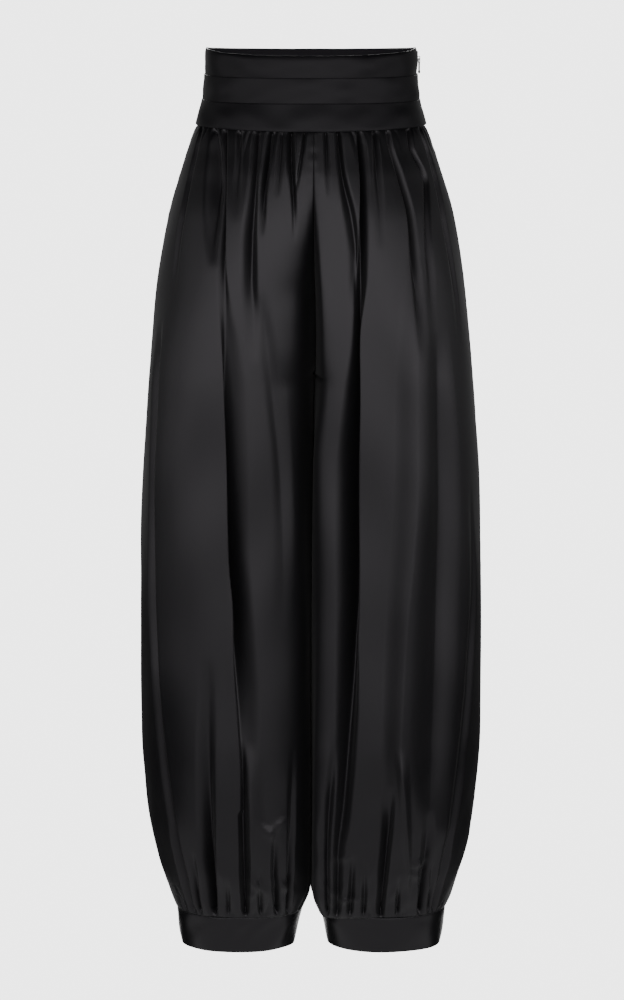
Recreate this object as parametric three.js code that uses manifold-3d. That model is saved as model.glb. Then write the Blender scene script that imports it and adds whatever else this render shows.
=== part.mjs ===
// Wide balloon trousers in black satin: a band of three tucks at the waist, full legs gathered into ankle cuffs,
// and a concealed zip in the wearer's left seam. They are filled out as when worn, with every wall hollow.
// Millimetres. Z is up from the rim of the waistband, -Y is the front and +X is the wearer's left.
import * as THREE from 'three';
import { mergeVertices } from 'three/addons/utils/BufferGeometryUtils.js';
import Module from 'manifold-3d';

const wasm = await Module();
wasm.setup();

// ---------------------------------------------------------------- driving dimensions

const SEAM = 0.3; // clear gap between pieces that are sewn to each other
const LEG_WALL = 1.6;
const FACING_WALL = 1.5;
const TUCK_WALL = 1.2;
const CUFF_WALL = 2.4;
const TAPE_WALL = 1.0;

const WAIST_SEAM_Z = -84; // the gathered legs are sewn to the facing here
const CROTCH_Z = -375;
const CUFF_TOP_Z = -1021;
const CUFF_BOTTOM_Z = -1060;
const WAIST_POWER = 2.2; // how square the waist's oval is, 2 being an ellipse
const CUFF_POWER = 2.1;

// Gathers start shallow at a seam and reach their depth this far from it.
const WAIST_GATHER_REACH = 14;
const CUFF_GATHER_REACH = 24;
const SEAM_GATHER = 0.12; // share of a gather's depth that is left at the seam itself

const SEGMENTS_PER_FOLD = 3;
const WAIST_SEGMENTS = 16;
const CUFF_SEGMENTS = 28;
const RING_SAMPLES = 160;

const ZIP_END_Z = -190;
const TAPE_TOP_Z = -1;
const TAPE_WIDTH = 9;
const COIL_HALF_WIDTH = 2;
const COIL_THICKNESS = 1.6;
const COIL_INSET = SEAM + TAPE_WALL + 0.8; // from the inside of the seam, clear of the slanting tapes
const ZIP_MOUTH = 0.9; // the seam's edges lie this far from its middle beside the slider
const ZIP_MOUTH_Z = -13; // and close below this height
const SEAM_CLOSED_Z = -15;

const SLIDER_INSET = SEAM + TAPE_WALL + 1.1; // from the inside of the seam to the slider's inner plate
const SLIDER_TOP_Z = -1.5;
const SLIDER_BOTTOM_Z = -12.2;
const SLIDER_HALF_WIDTH = 3.4;
const SLIDER_INNER_THICKNESS = 2.6;
const SLIDER_OUTER_THICKNESS = 1.0;
const SLIDER_OUTER_HALF_WIDTH = 2.4;
const SLIDER_NECK = 1.0;
const BRIDGE_TOP_Z = -7.4;
const BRIDGE_HEIGHT = 2.6;
const BRIDGE_BAR = 0.9;
const BRIDGE_WIDTH = 1.2;

const TAB_AXIS_OUT = 0.9; // from the slider's outer face to the middle of the tab
const TAB_AXIS_Z = -10.3;
const TAB_THICKNESS = 1.0;
const TAB_LENGTH = 17.3;
const TAB_EYE_LENGTH = 3.6;
const TAB_EYE_HALF_WIDTH = 0.95;
const TAB_HALF_WIDTH = 1.75;
const TAB_TAPER = 2; // length over which the eye narrows to the shank
const TAB_WAIST_HALF_WIDTH = 1.2;
const TAB_KNOB_RADIUS = 1.9;

// The facing's outer face, as half widths to the side, the front and the back.
const WAIST_OUTLINE = [
  { z: 0, side: 120.4, front: 89.6, back: 89.6 },
  { z: -4, side: 121.6, front: 90.8, back: 90.8 },
  { z: -28, side: 121.6, front: 91.6, back: 91.6 },
  { z: -56, side: 124.2, front: 94, back: 95 },
  { z: -84, side: 130.2, front: 98.5, back: 100 },
];

// One leg's outer face without its folds. side and inner are distances from the centre plane to the outer seam and
// to the inseam, front and back are depths, and the powers say how square its inner and outer corners are.
const LEG_OUTLINE = [
  { z: -84.3, side: 130.2, inner: 0.15, front: 98.5, back: 100, innerPower: 2.2, outerPower: 2.2 },
  { z: -94, side: 136, inner: 0.15, front: 102.8, back: 106, innerPower: 2.1, outerPower: 2.15 },
  { z: -140, side: 151.7, inner: 0.15, front: 117, back: 125, innerPower: 2.2, outerPower: 2.1 },
  { z: -190, side: 166, inner: 0.15, front: 125.5, back: 137, innerPower: 2.35, outerPower: 2.15 },
  { z: -260, side: 178.3, inner: 0.15, front: 131, back: 145, innerPower: 2.5, outerPower: 2.25 },
  { z: -320, side: 184.8, inner: 0.15, front: 133.4, back: 146.5, innerPower: 2.65, outerPower: 2.3 },
  { z: -375, side: 189.7, inner: 0.15, front: 134, back: 146, innerPower: 2.8, outerPower: 2.3 },
  { z: -500, side: 197.6, inner: 0.15, front: 132.5, back: 140, innerPower: 2.9, outerPower: 2.3 },
  { z: -650, side: 201.4, inner: 0.15, front: 131, back: 135, innerPower: 3, outerPower: 2.3 },
  { z: -800, side: 200.7, inner: 0.15, front: 129, back: 131, innerPower: 3, outerPower: 2.3 },
  { z: -900, side: 193.2, inner: 0.15, front: 119, back: 121, innerPower: 2.8, outerPower: 2.25 },
  { z: -955, side: 182.3, inner: 0.15, front: 103, back: 104, innerPower: 2.5, outerPower: 2.2 },
  { z: -990, side: 171.7, inner: 0.15, front: 86, back: 87, innerPower: 2.25, outerPower: 2.1 },
  { z: -1020.7, side: 160, inner: 10, front: 68, back: 68, innerPower: 2.1, outerPower: 2.1 },
];

// A cuff's outer face: its middle's distance from the centre plane, its half width and its half depth.
const CUFF_OUTLINE = [
  { z: CUFF_TOP_Z, middle: 85, width: 75, depth: 68 },
  { z: -1050, middle: 87, width: 69.8, depth: 63.5 },
  { z: CUFF_BOTTOM_Z, middle: 87, width: 67, depth: 61 },
];

// Heights at which the folds are measured, and how sharp a trough is there: 1 is a crease, 2 a soft hollow.
const STATIONS = [
  { name: 'waist', z: -96, softness: 1 },
  { name: 'yoke', z: -180, softness: 1.2 },
  { name: 'thigh', z: -330, softness: 1.5 },
  { name: 'knee', z: -600, softness: 1.8 },
  { name: 'shin', z: -860, softness: 1.5 },
  { name: 'cuff', z: -1008, softness: 1 },
];

// Each fold runs from waist to cuff. at is its trough's distance from the centre plane and deep its depth, each at
// the waist, yoke, thigh, knee, shin and cuff stations, from the side seam inwards.
const FRONT_RIGHT = [
  { at: [129, 157, 178, 181, 170, 148], deep: [2, 1, 3, 10, 13, 6] },
  { at: [122, 144, 159, 157, 148, 136], deep: [8, 6, 3, 1, 3, 9] },
  { at: [112, 118, 132, 128, 126, 123], deep: [10, 8, 4, 2, 6, 13] },
  { at: [97, 97, 95, 88, 77, 76], deep: [8, 9, 12, 14, 9, 13] },
  { at: [80, 80, 82, 72, 66, 66], deep: [6, 3, 1, 1, 2, 6] },
  { at: [63, 63, 69, 57, 55, 56], deep: [9, 10, 6, 2, 4, 9] },
  { at: [46, 46, 44, 41, 40, 40], deep: [8, 6, 2, 3, 6, 10] },
  { at: [26, 20, 14, 13, 18, 24], deep: [8, 9, 7, 5, 4, 8] },
];
const FRONT_LEFT = [
  { at: [130, 158, 180, 186, 180, 155], deep: [2, 1, 2, 4, 5, 6] },
  { at: [124, 149, 167, 174, 166, 143], deep: [8, 7, 4, 3, 6, 8] },
  { at: [114, 124, 130, 128, 125, 127], deep: [9, 9, 10, 9, 7, 13] },
  { at: [95, 104, 112, 103, 101, 107], deep: [9, 8, 4, 1, 4, 7] },
  { at: [66, 70, 79, 80, 89, 86], deep: [8, 5, 1, 2, 8, 12] },
  { at: [51, 53, 58, 46, 40, 40], deep: [9, 12, 14, 13, 8, 10] },
  { at: [34, 41, 45, 30, 24, 25], deep: [8, 7, 3, 1, 3, 7] },
  { at: [16, 18, 22, 16, 12, 16], deep: [6, 2, 1, 1, 1, 4] },
];
const BACK_RIGHT = [
  { at: [127, 152, 170, 176, 168, 148], deep: [5, 4, 3, 4, 8, 7] },
  { at: [114, 131, 146, 148, 141, 132], deep: [8, 7, 5, 3, 4, 9] },
  { at: [99, 110, 124, 122, 116, 114], deep: [9, 8, 10, 11, 8, 11] },
  { at: [83, 88, 97, 96, 98, 95], deep: [7, 5, 2, 3, 6, 9] },
  { at: [66, 71, 76, 70, 72, 76], deep: [9, 10, 7, 4, 5, 12] },
  { at: [50, 51, 50, 48, 50, 56], deep: [8, 6, 8, 11, 8, 9] },
  { at: [33, 32, 34, 28, 30, 37], deep: [9, 8, 4, 2, 5, 10] },
  { at: [16, 15, 15, 13, 14, 20], deep: [6, 4, 3, 3, 3, 6] },
];
const BACK_LEFT = [
  { at: [128, 155, 174, 180, 172, 150], deep: [4, 3, 4, 7, 9, 6] },
  { at: [117, 137, 153, 152, 144, 134], deep: [8, 8, 6, 3, 3, 10] },
  { at: [104, 116, 122, 120, 122, 119], deep: [8, 6, 4, 6, 9, 12] },
  { at: [87, 92, 98, 92, 90, 97], deep: [9, 10, 11, 8, 5, 8] },
  { at: [71, 72, 71, 66, 68, 75], deep: [7, 4, 2, 2, 6, 11] },
  { at: [54, 55, 57, 52, 47, 54], deep: [9, 9, 8, 10, 9, 10] },
  { at: [37, 37, 37, 33, 31, 36], deep: [7, 5, 3, 2, 4, 9] },
  { at: [18, 17, 17, 14, 15, 21], deep: [7, 6, 4, 3, 4, 7] },
];

const FOLDS = {
  front: { right: FRONT_RIGHT, left: FRONT_LEFT },
  back: { right: BACK_RIGHT, left: BACK_LEFT },
};

// Heights of the facing's rows, and how far each dips at the centre front and back.
const FACING_ROWS = [
  { z: 0, dip: 1.2 },
  { z: -4, dip: 1 },
  { z: ZIP_MOUTH_Z, dip: 0 },
  { z: SEAM_CLOSED_Z, dip: 0 },
  { z: -28, dip: 0 },
  { z: -56, dip: 0 },
  { z: WAIST_SEAM_Z, dip: 0 },
];

// Each tuck is a strip that lies on the facing. gap is from the facing's outer face to the strip's inner one, at its
// upper folded edge over the strip above, and at its lower edge under the strip below. dip lowers it at the centre.
const OVER_A_TUCK = SEAM + TUCK_WALL + SEAM;
const TUCKS = {
  top: [
    { z: 0, gap: SEAM, dip: 1.2 },
    { z: -4, gap: SEAM, dip: 1 },
    { z: ZIP_MOUTH_Z, gap: SEAM, dip: 0 },
    { z: SEAM_CLOSED_Z, gap: SEAM, dip: 0 },
    { z: -32, gap: SEAM, dip: 0 },
  ],
  middle: [
    { z: -28, gap: OVER_A_TUCK, dip: -1 },
    { z: -32, gap: OVER_A_TUCK, dip: -1 },
    { z: -57, gap: SEAM, dip: -1 },
    { z: -61, gap: SEAM, dip: -1 },
  ],
  bottom: [
    { z: -57, gap: OVER_A_TUCK, dip: -1 },
    { z: -61, gap: OVER_A_TUCK, dip: -1 },
    { z: -86, gap: 3.2, dip: 2 },
  ],
};

// ---------------------------------------------------------------- materials

function cloth(roughness) {
  return new THREE.MeshStandardMaterial({ color: 0x131316, roughness, metalness: 0 });
}

function zipMetal() {
  return new THREE.MeshStandardMaterial({ color: 0x4a4a4e, roughness: 0.35, metalness: 1 });
}

// ---------------------------------------------------------------- tables and sections

function smoothStep(share) {
  const s = Math.min(Math.max(share, 0), 1);
  return s * s * (3 - 2 * s);
}

// The row of a table at height z, each column in proportion between the rows above and below.
function rowAt(table, z) {
  const last = table.length - 2;
  const found = table.findIndex((row, i) => i < table.length - 1 && z >= table[i + 1].z);
  const i = found < 0 ? last : found;
  const share = Math.min(Math.max((z - table[i].z) / (table[i + 1].z - table[i].z), 0), 1);
  const mixed = {};
  for (const column of Object.keys(table[i])) {
    if (typeof table[i][column] !== 'number') continue;
    mixed[column] = table[i][column] + share * (table[i + 1][column] - table[i][column]);
  }
  return mixed;
}

// A value listed at each station, at height z.
function atHeight(values, z) {
  return rowAt(STATIONS.map((station, i) => ({ z: station.z, value: values[i] })), z).value;
}

// A point of an oval with square corners, at an angle from its outer end, with its outward direction.
function ovalPoint(oval, angle) {
  const c = Math.cos(angle);
  const s = Math.sin(angle);
  const power = c >= 0 ? oval.outerPower : oval.innerPower;
  const a = Math.abs(c) / oval.width;
  const b = Math.abs(s) / oval.depth;
  const radius = (a ** power + b ** power) ** (-1 / power);
  const across = (Math.abs(c) * radius / oval.width) ** (power - 1) / oval.width * Math.sign(c);
  const along = (Math.abs(s) * radius / oval.depth) ** (power - 1) / oval.depth;
  const length = Math.hypot(across, along);
  return { x: oval.middle + c * radius, y: s * radius, nx: across / length, ny: along / length };
}

// Half of an oval from its outer end to the distance stop from the centre plane, walked in equal shares of its
// length. atShare gives a point, shareAtX the share that lies at a distance from the centre plane.
function halfSection(oval, stop) {
  const reach = Math.min(Math.max((oval.middle - stop) / oval.width, 0), 1);
  const height = oval.depth * (1 - reach ** oval.innerPower) ** (1 / oval.innerPower);
  const lastAngle = Math.atan2(height, stop - oval.middle);
  const points = [];
  const lengths = [0];
  for (let i = 0; i <= RING_SAMPLES; i++) {
    points.push(ovalPoint(oval, lastAngle * i / RING_SAMPLES));
    if (i > 0) lengths.push(lengths[i - 1] + Math.hypot(points[i].x - points[i - 1].x, points[i].y - points[i - 1].y));
  }
  const total = lengths[RING_SAMPLES];
  return {
    total,
    atShare(share) {
      const goal = share * total;
      let i = 1;
      while (i < RING_SAMPLES && lengths[i] < goal) i++;
      const part = (goal - lengths[i - 1]) / (lengths[i] - lengths[i - 1]);
      return ovalPoint(oval, lastAngle * (i - 1 + part) / RING_SAMPLES);
    },
    shareAtX(x) {
      let i = 1;
      while (i < RING_SAMPLES && points[i].x > x) i++;
      const part = (points[i - 1].x - x) / (points[i - 1].x - points[i].x);
      return (lengths[i - 1] + Math.min(Math.max(part, 0), 1) * (lengths[i] - lengths[i - 1])) / total;
    },
  };
}

// Down to the crotch the two legs share one oval, which parts into two as the rise curves between them.
function legSection(z, face) {
  const row = rowAt(LEG_OUTLINE, z);
  const rise = Math.min(Math.max((WAIST_SEAM_Z - z) / (WAIST_SEAM_Z - CROTCH_Z), 0), 1);
  const middle = rise < 1 ? row.side * rise / (1 + rise) : (row.side + row.inner) / 2;
  const oval = {
    middle,
    width: row.side - middle,
    depth: row[face],
    innerPower: row.innerPower,
    outerPower: row.outerPower,
  };
  return halfSection(oval, row.inner);
}

function waistSection(z, face, gap) {
  const row = rowAt(WAIST_OUTLINE, z);
  const oval = {
    middle: 0,
    width: row.side + gap,
    depth: row[face] + gap,
    innerPower: WAIST_POWER,
    outerPower: WAIST_POWER,
  };
  return halfSection(oval, 0);
}

// ---------------------------------------------------------------- shells

// A closed shell from an outer and an inner grid of points, [row][column]. looped joins its last column to its first.
function shell(outer, inner, looped = false) {
  const rows = outer.length;
  const columns = outer[0].length;
  const points = [...outer.flat(), ...inner.flat()];
  const index = (layer, row, column) => layer * rows * columns + row * columns + column % columns;
  const triangles = [];
  const quad = (a, b, c, d) => triangles.push(a, b, c, a, c, d);
  const lastColumn = looped ? columns : columns - 1;
  for (let row = 0; row < rows - 1; row++) {
    for (let column = 0; column < lastColumn; column++) {
      quad(index(0, row, column), index(0, row + 1, column), index(0, row + 1, column + 1), index(0, row, column + 1));
      quad(index(1, row, column), index(1, row, column + 1), index(1, row + 1, column + 1), index(1, row + 1, column));
    }
    if (looped) continue;
    const end = columns - 1;
    quad(index(0, row, 0), index(1, row, 0), index(1, row + 1, 0), index(0, row + 1, 0));
    quad(index(0, row, end), index(0, row + 1, end), index(1, row + 1, end), index(1, row, end));
  }
  for (let column = 0; column < lastColumn; column++) {
    const base = rows - 1;
    quad(index(0, 0, column), index(0, 0, column + 1), index(1, 0, column + 1), index(1, 0, column));
    quad(index(0, base, column), index(1, base, column), index(1, base, column + 1), index(0, base, column + 1));
  }
  const geometry = new THREE.BufferGeometry().setFromPoints(points);
  geometry.setIndex(signedVolume(points, triangles) < 0 ? triangles.reverse() : triangles);
  geometry.computeVertexNormals();
  return geometry;
}

function signedVolume(points, triangles) {
  const cross = new THREE.Vector3();
  let sum = 0;
  for (let i = 0; i < triangles.length; i += 3) {
    cross.crossVectors(points[triangles[i + 1]], points[triangles[i + 2]]);
    sum += points[triangles[i]].dot(cross);
  }
  return sum / 6;
}

function piece(name, geometry, material) {
  const mesh = new THREE.Mesh(geometry, material);
  mesh.name = name;
  return mesh;
}

// ---------------------------------------------------------------- legs

// Above the first station the folds draw together as the leg narrows towards the waist seam.
function drawnIn(z) {
  return Math.min(1, rowAt(LEG_OUTLINE, z).side / rowAt(LEG_OUTLINE, STATIONS[0].z).side);
}

// Shares of the section at height z where the grid's columns lie: each trough, each seam and the steps between.
function foldColumns(section, folds, z) {
  const troughs = folds.map((fold) => ({
    share: section.shareAtX(atHeight(fold.at, z) * drawnIn(z)),
    deep: atHeight(fold.deep, z),
  }));
  const stops = [{ share: 0, deep: 0 }, ...troughs, { share: 1, deep: 0 }];
  const softness = atHeight(STATIONS.map((station) => station.softness), z);
  const trough = (s) => (s < 0.5 ? (1 - Math.sin(Math.PI * s)) ** softness : 0);
  const columns = [];
  for (let i = 0; i < stops.length - 1; i++) {
    for (let step = 0; step < SEGMENTS_PER_FOLD; step++) {
      const s = step / SEGMENTS_PER_FOLD;
      columns.push({
        share: stops[i].share + s * (stops[i + 1].share - stops[i].share),
        deep: stops[i].deep * trough(s) + stops[i + 1].deep * trough(1 - s),
      });
    }
  }
  columns.push(stops[stops.length - 1]);
  return columns;
}

// How much of a gather's depth there is at height z, from nearly none at the two gathered seams.
function gatherShare(z) {
  const fromWaist = smoothStep((WAIST_SEAM_Z - z) / WAIST_GATHER_REACH);
  const fromCuff = smoothStep((z - CUFF_TOP_Z) / CUFF_GATHER_REACH);
  return Math.max(SEAM_GATHER, Math.min(fromWaist, fromCuff));
}

// hand is 1 for the wearer's left and -1 for the right; ahead is -1 for the front and 1 for the back.
function legPoint(at, z, inset, inner, hand, ahead) {
  const x = Math.max(at.x - inset * at.nx, inner);
  const y = Math.max(at.y - inset * at.ny, SEAM / 2);
  return new THREE.Vector3(hand * x, ahead * y, z);
}

function legRow(row, hand, face, folds, wall) {
  const ahead = face === 'front' ? -1 : 1;
  const section = legSection(row.z, face);
  const share = gatherShare(row.z);
  return foldColumns(section, folds, row.z).map((column) => {
    const at = section.atShare(column.share);
    return legPoint(at, row.z, column.deep * share + wall, row.inner, hand, ahead);
  });
}

function legPanel(hand, face) {
  const folds = FOLDS[face][hand < 0 ? 'right' : 'left'];
  const outer = LEG_OUTLINE.map((row) => legRow(row, hand, face, folds, 0));
  const inner = LEG_OUTLINE.map((row) => legRow(row, hand, face, folds, LEG_WALL));
  return shell(outer, inner);
}

// ---------------------------------------------------------------- waistband

// Half a turn round the waist, from the wearer's right side seam to the left one, at a gap from the facing.
function waistRow(z, dip, face, gap) {
  const ahead = face === 'front' ? -1 : 1;
  const section = waistSection(z, face, gap);
  const edge = z >= ZIP_MOUTH_Z ? ZIP_MOUTH : SEAM / 2;
  const row = [];
  for (let i = 0; i <= WAIST_SEGMENTS; i++) {
    const turn = 2 * i / WAIST_SEGMENTS - 1;
    const hand = turn < 0 ? -1 : 1;
    const at = section.atShare(1 - Math.abs(turn));
    const least = i === WAIST_SEGMENTS ? edge : SEAM / 2;
    const drop = dip * Math.cos(turn * Math.PI / 2) ** 2;
    row.push(new THREE.Vector3(hand * at.x, ahead * Math.max(at.y, least), z - drop));
  }
  return row;
}

function waistStrip(rows, face, wall) {
  const outer = rows.map((row) => waistRow(row.z, row.dip, face, row.gap + wall));
  const inner = rows.map((row) => waistRow(row.z, row.dip, face, row.gap));
  return shell(outer, inner);
}

function facing(face) {
  const rows = FACING_ROWS.map((row) => ({ ...row, gap: -FACING_WALL }));
  return waistStrip(rows, face, FACING_WALL);
}

// ---------------------------------------------------------------- cuffs

function cuff(hand) {
  const ring = (row, inset) => {
    const oval = {
      middle: 0,
      width: row.width - inset,
      depth: row.depth - inset,
      innerPower: CUFF_POWER,
      outerPower: CUFF_POWER,
    };
    const points = [];
    for (let i = 0; i < CUFF_SEGMENTS; i++) {
      const at = ovalPoint(oval, 2 * Math.PI * i / CUFF_SEGMENTS);
      const y = Math.sin(2 * Math.PI * i / CUFF_SEGMENTS) < 0 ? -Math.abs(at.y) : Math.abs(at.y);
      points.push(new THREE.Vector3(hand * row.middle + at.x, y, row.z));
    }
    return points;
  };
  const outer = CUFF_OUTLINE.map((row) => ring(row, 0));
  const inner = CUFF_OUTLINE.map((row) => ring(row, CUFF_WALL));
  return shell(outer, inner, true);
}

// ---------------------------------------------------------------- zip

// The heights of the rows of the facing and of the leg that the zip follows.
function zipHeights(topZ) {
  const rows = [topZ, ...FACING_ROWS, ...LEG_OUTLINE].map((row) => row.z ?? row);
  return rows.filter((z) => z <= topZ && z >= ZIP_END_Z);
}

// The edge of the left side seam and the next point along it, on the inner face of the facing or the leg.
function seamEdge(z, face) {
  if (z >= WAIST_SEAM_Z) return waistRow(z, 0, face, -FACING_WALL).slice(-2).reverse();
  const row = LEG_OUTLINE.find((candidate) => candidate.z === z);
  return legRow(row, 1, face, FOLDS[face].left, LEG_WALL).slice(0, 2);
}

// Distance from the centre plane to the inside of the left side seam at height z.
function seamInside(z) {
  return z >= WAIST_SEAM_Z ? rowAt(WAIST_OUTLINE, z).side - FACING_WALL : rowAt(LEG_OUTLINE, z).side - LEG_WALL;
}

// A woven tape inside the seam, made from points of the facing and the leg moved inwards.
function zipTape(face) {
  const ahead = face === 'front' ? -1 : 1;
  const grid = (inset) => zipHeights(TAPE_TOP_Z).map((z) => {
    const [edge, next] = seamEdge(z, face);
    const along = next.clone().sub(edge).setZ(0).normalize();
    const inwards = new THREE.Vector3(-Math.abs(along.y), ahead * along.x, 0);
    const least = z >= ZIP_MOUTH_Z ? ZIP_MOUTH : SEAM / 2;
    return [0, TAPE_WIDTH].map((width) => {
      const at = edge.clone().addScaledVector(along, width).addScaledVector(inwards, inset);
      return new THREE.Vector3(at.x, ahead * Math.max(Math.abs(at.y), least), z);
    });
  });
  return shell(grid(SEAM), grid(SEAM + TAPE_WALL));
}

// The closed coil, a ribbon along the inside of both tapes.
function zipCoil() {
  const grid = (inset) => zipHeights(SLIDER_BOTTOM_Z - SEAM).map((z) => [-1, 1].map((side) => (
    new THREE.Vector3(seamInside(z) - inset, side * COIL_HALF_WIDTH, z)
  )));
  return shell(grid(COIL_INSET), grid(COIL_INSET + COIL_THICKNESS));
}

function solid(geometry) {
  const bare = new THREE.BufferGeometry().setAttribute('position', geometry.getAttribute('position'));
  if (geometry.index) bare.setIndex(geometry.index);
  const merged = mergeVertices(bare, 1e-4);
  return new wasm.Manifold(new wasm.Mesh({
    numProp: 3,
    vertProperties: new Float32Array(merged.attributes.position.array),
    triVerts: new Uint32Array(merged.index.array),
  }));
}

function geometryOf(manifold) {
  const mesh = manifold.getMesh();
  const geometry = new THREE.BufferGeometry();
  geometry.setAttribute('position', new THREE.BufferAttribute(mesh.vertProperties, 3));
  geometry.setIndex(new THREE.BufferAttribute(mesh.triVerts, 1));
  geometry.computeVertexNormals();
  return geometry;
}

function outline(points) {
  return new THREE.Shape(points.map(([x, y]) => new THREE.Vector2(x, y)));
}

// The outer face of the top tuck at the side, and of the slider that lies on it.
const TUCK_OUTSIDE = rowAt(WAIST_OUTLINE, -4).side + SEAM + TUCK_WALL;
const SLIDER_OUTSIDE = TUCK_OUTSIDE + SEAM + SLIDER_OUTER_THICKNESS;
const TAB_AXIS_X = SLIDER_OUTSIDE + TAB_AXIS_OUT;

// Two plates, one on each side of the cloth, with a neck through the mouth of the seam and a bridge for the tab.
function zipSlider() {
  const innerFace = seamInside(SLIDER_BOTTOM_Z) - SLIDER_INSET;
  const innerBack = innerFace - SLIDER_INNER_THICKNESS;
  const outerFace = TUCK_OUTSIDE + SEAM;
  const half = [
    [innerBack, SLIDER_HALF_WIDTH],
    [innerFace, SLIDER_HALF_WIDTH],
    [innerFace, SLIDER_NECK / 2],
    [outerFace, SLIDER_NECK / 2],
    [outerFace, SLIDER_OUTER_HALF_WIDTH],
    [SLIDER_OUTSIDE, SLIDER_OUTER_HALF_WIDTH],
  ];
  const mirrored = half.map(([x, y]) => [x, -y]).reverse();
  const body = new THREE.ExtrudeGeometry(outline([...mirrored, ...half]), {
    depth: SLIDER_TOP_Z - SLIDER_BOTTOM_Z,
    bevelEnabled: false,
  });
  body.translate(0, 0, SLIDER_BOTTOM_Z);

  const root = SLIDER_OUTSIDE - SLIDER_OUTER_THICKNESS / 2;
  const crown = SLIDER_OUTSIDE + BRIDGE_HEIGHT;
  const bridge = new THREE.ExtrudeGeometry(outline([
    [root, SLIDER_BOTTOM_Z],
    [crown, SLIDER_BOTTOM_Z],
    [crown, BRIDGE_TOP_Z],
    [root, BRIDGE_TOP_Z],
    [root, BRIDGE_TOP_Z - BRIDGE_BAR],
    [crown - BRIDGE_BAR, BRIDGE_TOP_Z - BRIDGE_BAR],
    [crown - BRIDGE_BAR, SLIDER_BOTTOM_Z + BRIDGE_BAR],
    [root, SLIDER_BOTTOM_Z + BRIDGE_BAR],
  ]), { depth: BRIDGE_WIDTH, bevelEnabled: false });
  bridge.rotateX(Math.PI / 2);
  bridge.translate(0, BRIDGE_WIDTH / 2, 0);
  return geometryOf(solid(body).add(solid(bridge)));
}

// The hanging tab: a flat eye round the slider's bridge, a narrow shank and a round knob.
function zipPull() {
  const halfTop = TAB_THICKNESS / 2;
  const knobZ = -TAB_LENGTH + TAB_KNOB_RADIUS;
  const shape = new THREE.Shape();
  shape.moveTo(-TAB_HALF_WIDTH, halfTop);
  shape.lineTo(-TAB_HALF_WIDTH, -TAB_EYE_LENGTH - halfTop);
  shape.lineTo(-TAB_WAIST_HALF_WIDTH, -TAB_EYE_LENGTH - TAB_TAPER);
  const meet = Math.asin(TAB_WAIST_HALF_WIDTH / TAB_KNOB_RADIUS);
  shape.absarc(0, knobZ, TAB_KNOB_RADIUS, Math.PI / 2 + meet, Math.PI / 2 - meet + 2 * Math.PI, false);
  shape.lineTo(TAB_WAIST_HALF_WIDTH, -TAB_EYE_LENGTH - TAB_TAPER);
  shape.lineTo(TAB_HALF_WIDTH, -TAB_EYE_LENGTH - halfTop);
  shape.lineTo(TAB_HALF_WIDTH, halfTop);
  shape.holes.push(new THREE.Path([
    new THREE.Vector2(-TAB_EYE_HALF_WIDTH, -halfTop),
    new THREE.Vector2(-TAB_EYE_HALF_WIDTH, -TAB_EYE_LENGTH),
    new THREE.Vector2(TAB_EYE_HALF_WIDTH, -TAB_EYE_LENGTH),
    new THREE.Vector2(TAB_EYE_HALF_WIDTH, -halfTop),
  ]));
  const geometry = new THREE.ExtrudeGeometry(shape, {
    depth: TAB_THICKNESS,
    bevelEnabled: false,
    curveSegments: 10,
  });
  geometry.rotateX(Math.PI / 2);
  geometry.rotateZ(Math.PI / 2);
  geometry.translate(-TAB_THICKNESS / 2, 0, 0);
  return geometry;
}

// ---------------------------------------------------------------- the trousers

const trousers = new THREE.Group();
for (const face of ['front', 'back']) {
  trousers.add(piece(`waist_facing_${face}`, facing(face), cloth(0.5)));
  for (const [tier, rows] of Object.entries(TUCKS)) {
    trousers.add(piece(`waist_tuck_${tier}_${face}`, waistStrip(rows, face, TUCK_WALL), cloth(0.4)));
  }
  trousers.add(piece(`zip_tape_${face}`, zipTape(face), cloth(0.7)));
}
for (const [side, hand] of [['right', -1], ['left', 1]]) {
  trousers.add(piece(`leg_front_${side}`, legPanel(hand, 'front'), cloth(0.4)));
  trousers.add(piece(`leg_back_${side}`, legPanel(hand, 'back'), cloth(0.4)));
  trousers.add(piece(`cuff_${side}`, cuff(hand), cloth(0.35)));
}
trousers.add(piece('zip_coil', zipCoil(), cloth(0.6)));
trousers.add(piece('zip_slider', zipSlider(), zipMetal()));

const pull = piece('zip_pull', zipPull(), zipMetal());
pull.position.set(TAB_AXIS_X, 0, TAB_AXIS_Z);
trousers.add(pull);

export default trousers;
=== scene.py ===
import math

import bmesh
import bpy
import numpy as np
from mathutils import Matrix, Vector


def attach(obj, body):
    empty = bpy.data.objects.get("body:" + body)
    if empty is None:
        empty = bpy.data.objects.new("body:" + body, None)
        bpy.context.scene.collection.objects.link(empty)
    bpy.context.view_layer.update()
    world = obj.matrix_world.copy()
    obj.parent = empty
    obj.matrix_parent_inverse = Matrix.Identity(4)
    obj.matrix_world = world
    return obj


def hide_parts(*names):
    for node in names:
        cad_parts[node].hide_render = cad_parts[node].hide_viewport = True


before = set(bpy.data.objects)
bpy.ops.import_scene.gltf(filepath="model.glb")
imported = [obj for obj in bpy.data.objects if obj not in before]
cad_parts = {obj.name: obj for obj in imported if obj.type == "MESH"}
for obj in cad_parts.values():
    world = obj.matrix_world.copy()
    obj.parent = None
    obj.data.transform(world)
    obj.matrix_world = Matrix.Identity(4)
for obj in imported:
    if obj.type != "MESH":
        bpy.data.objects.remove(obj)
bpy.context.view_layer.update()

# Lengths in the tables are millimetres, in the frame of the trousers: Z is up from the waistband's rim,
# -Y is the front and +X is the wearer's left. Meshes are in metres.
MM = 0.001
HAND = {"right": -1, "left": 1}
AHEAD = {"front": -1, "back": 1}

# ---- sizes

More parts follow.
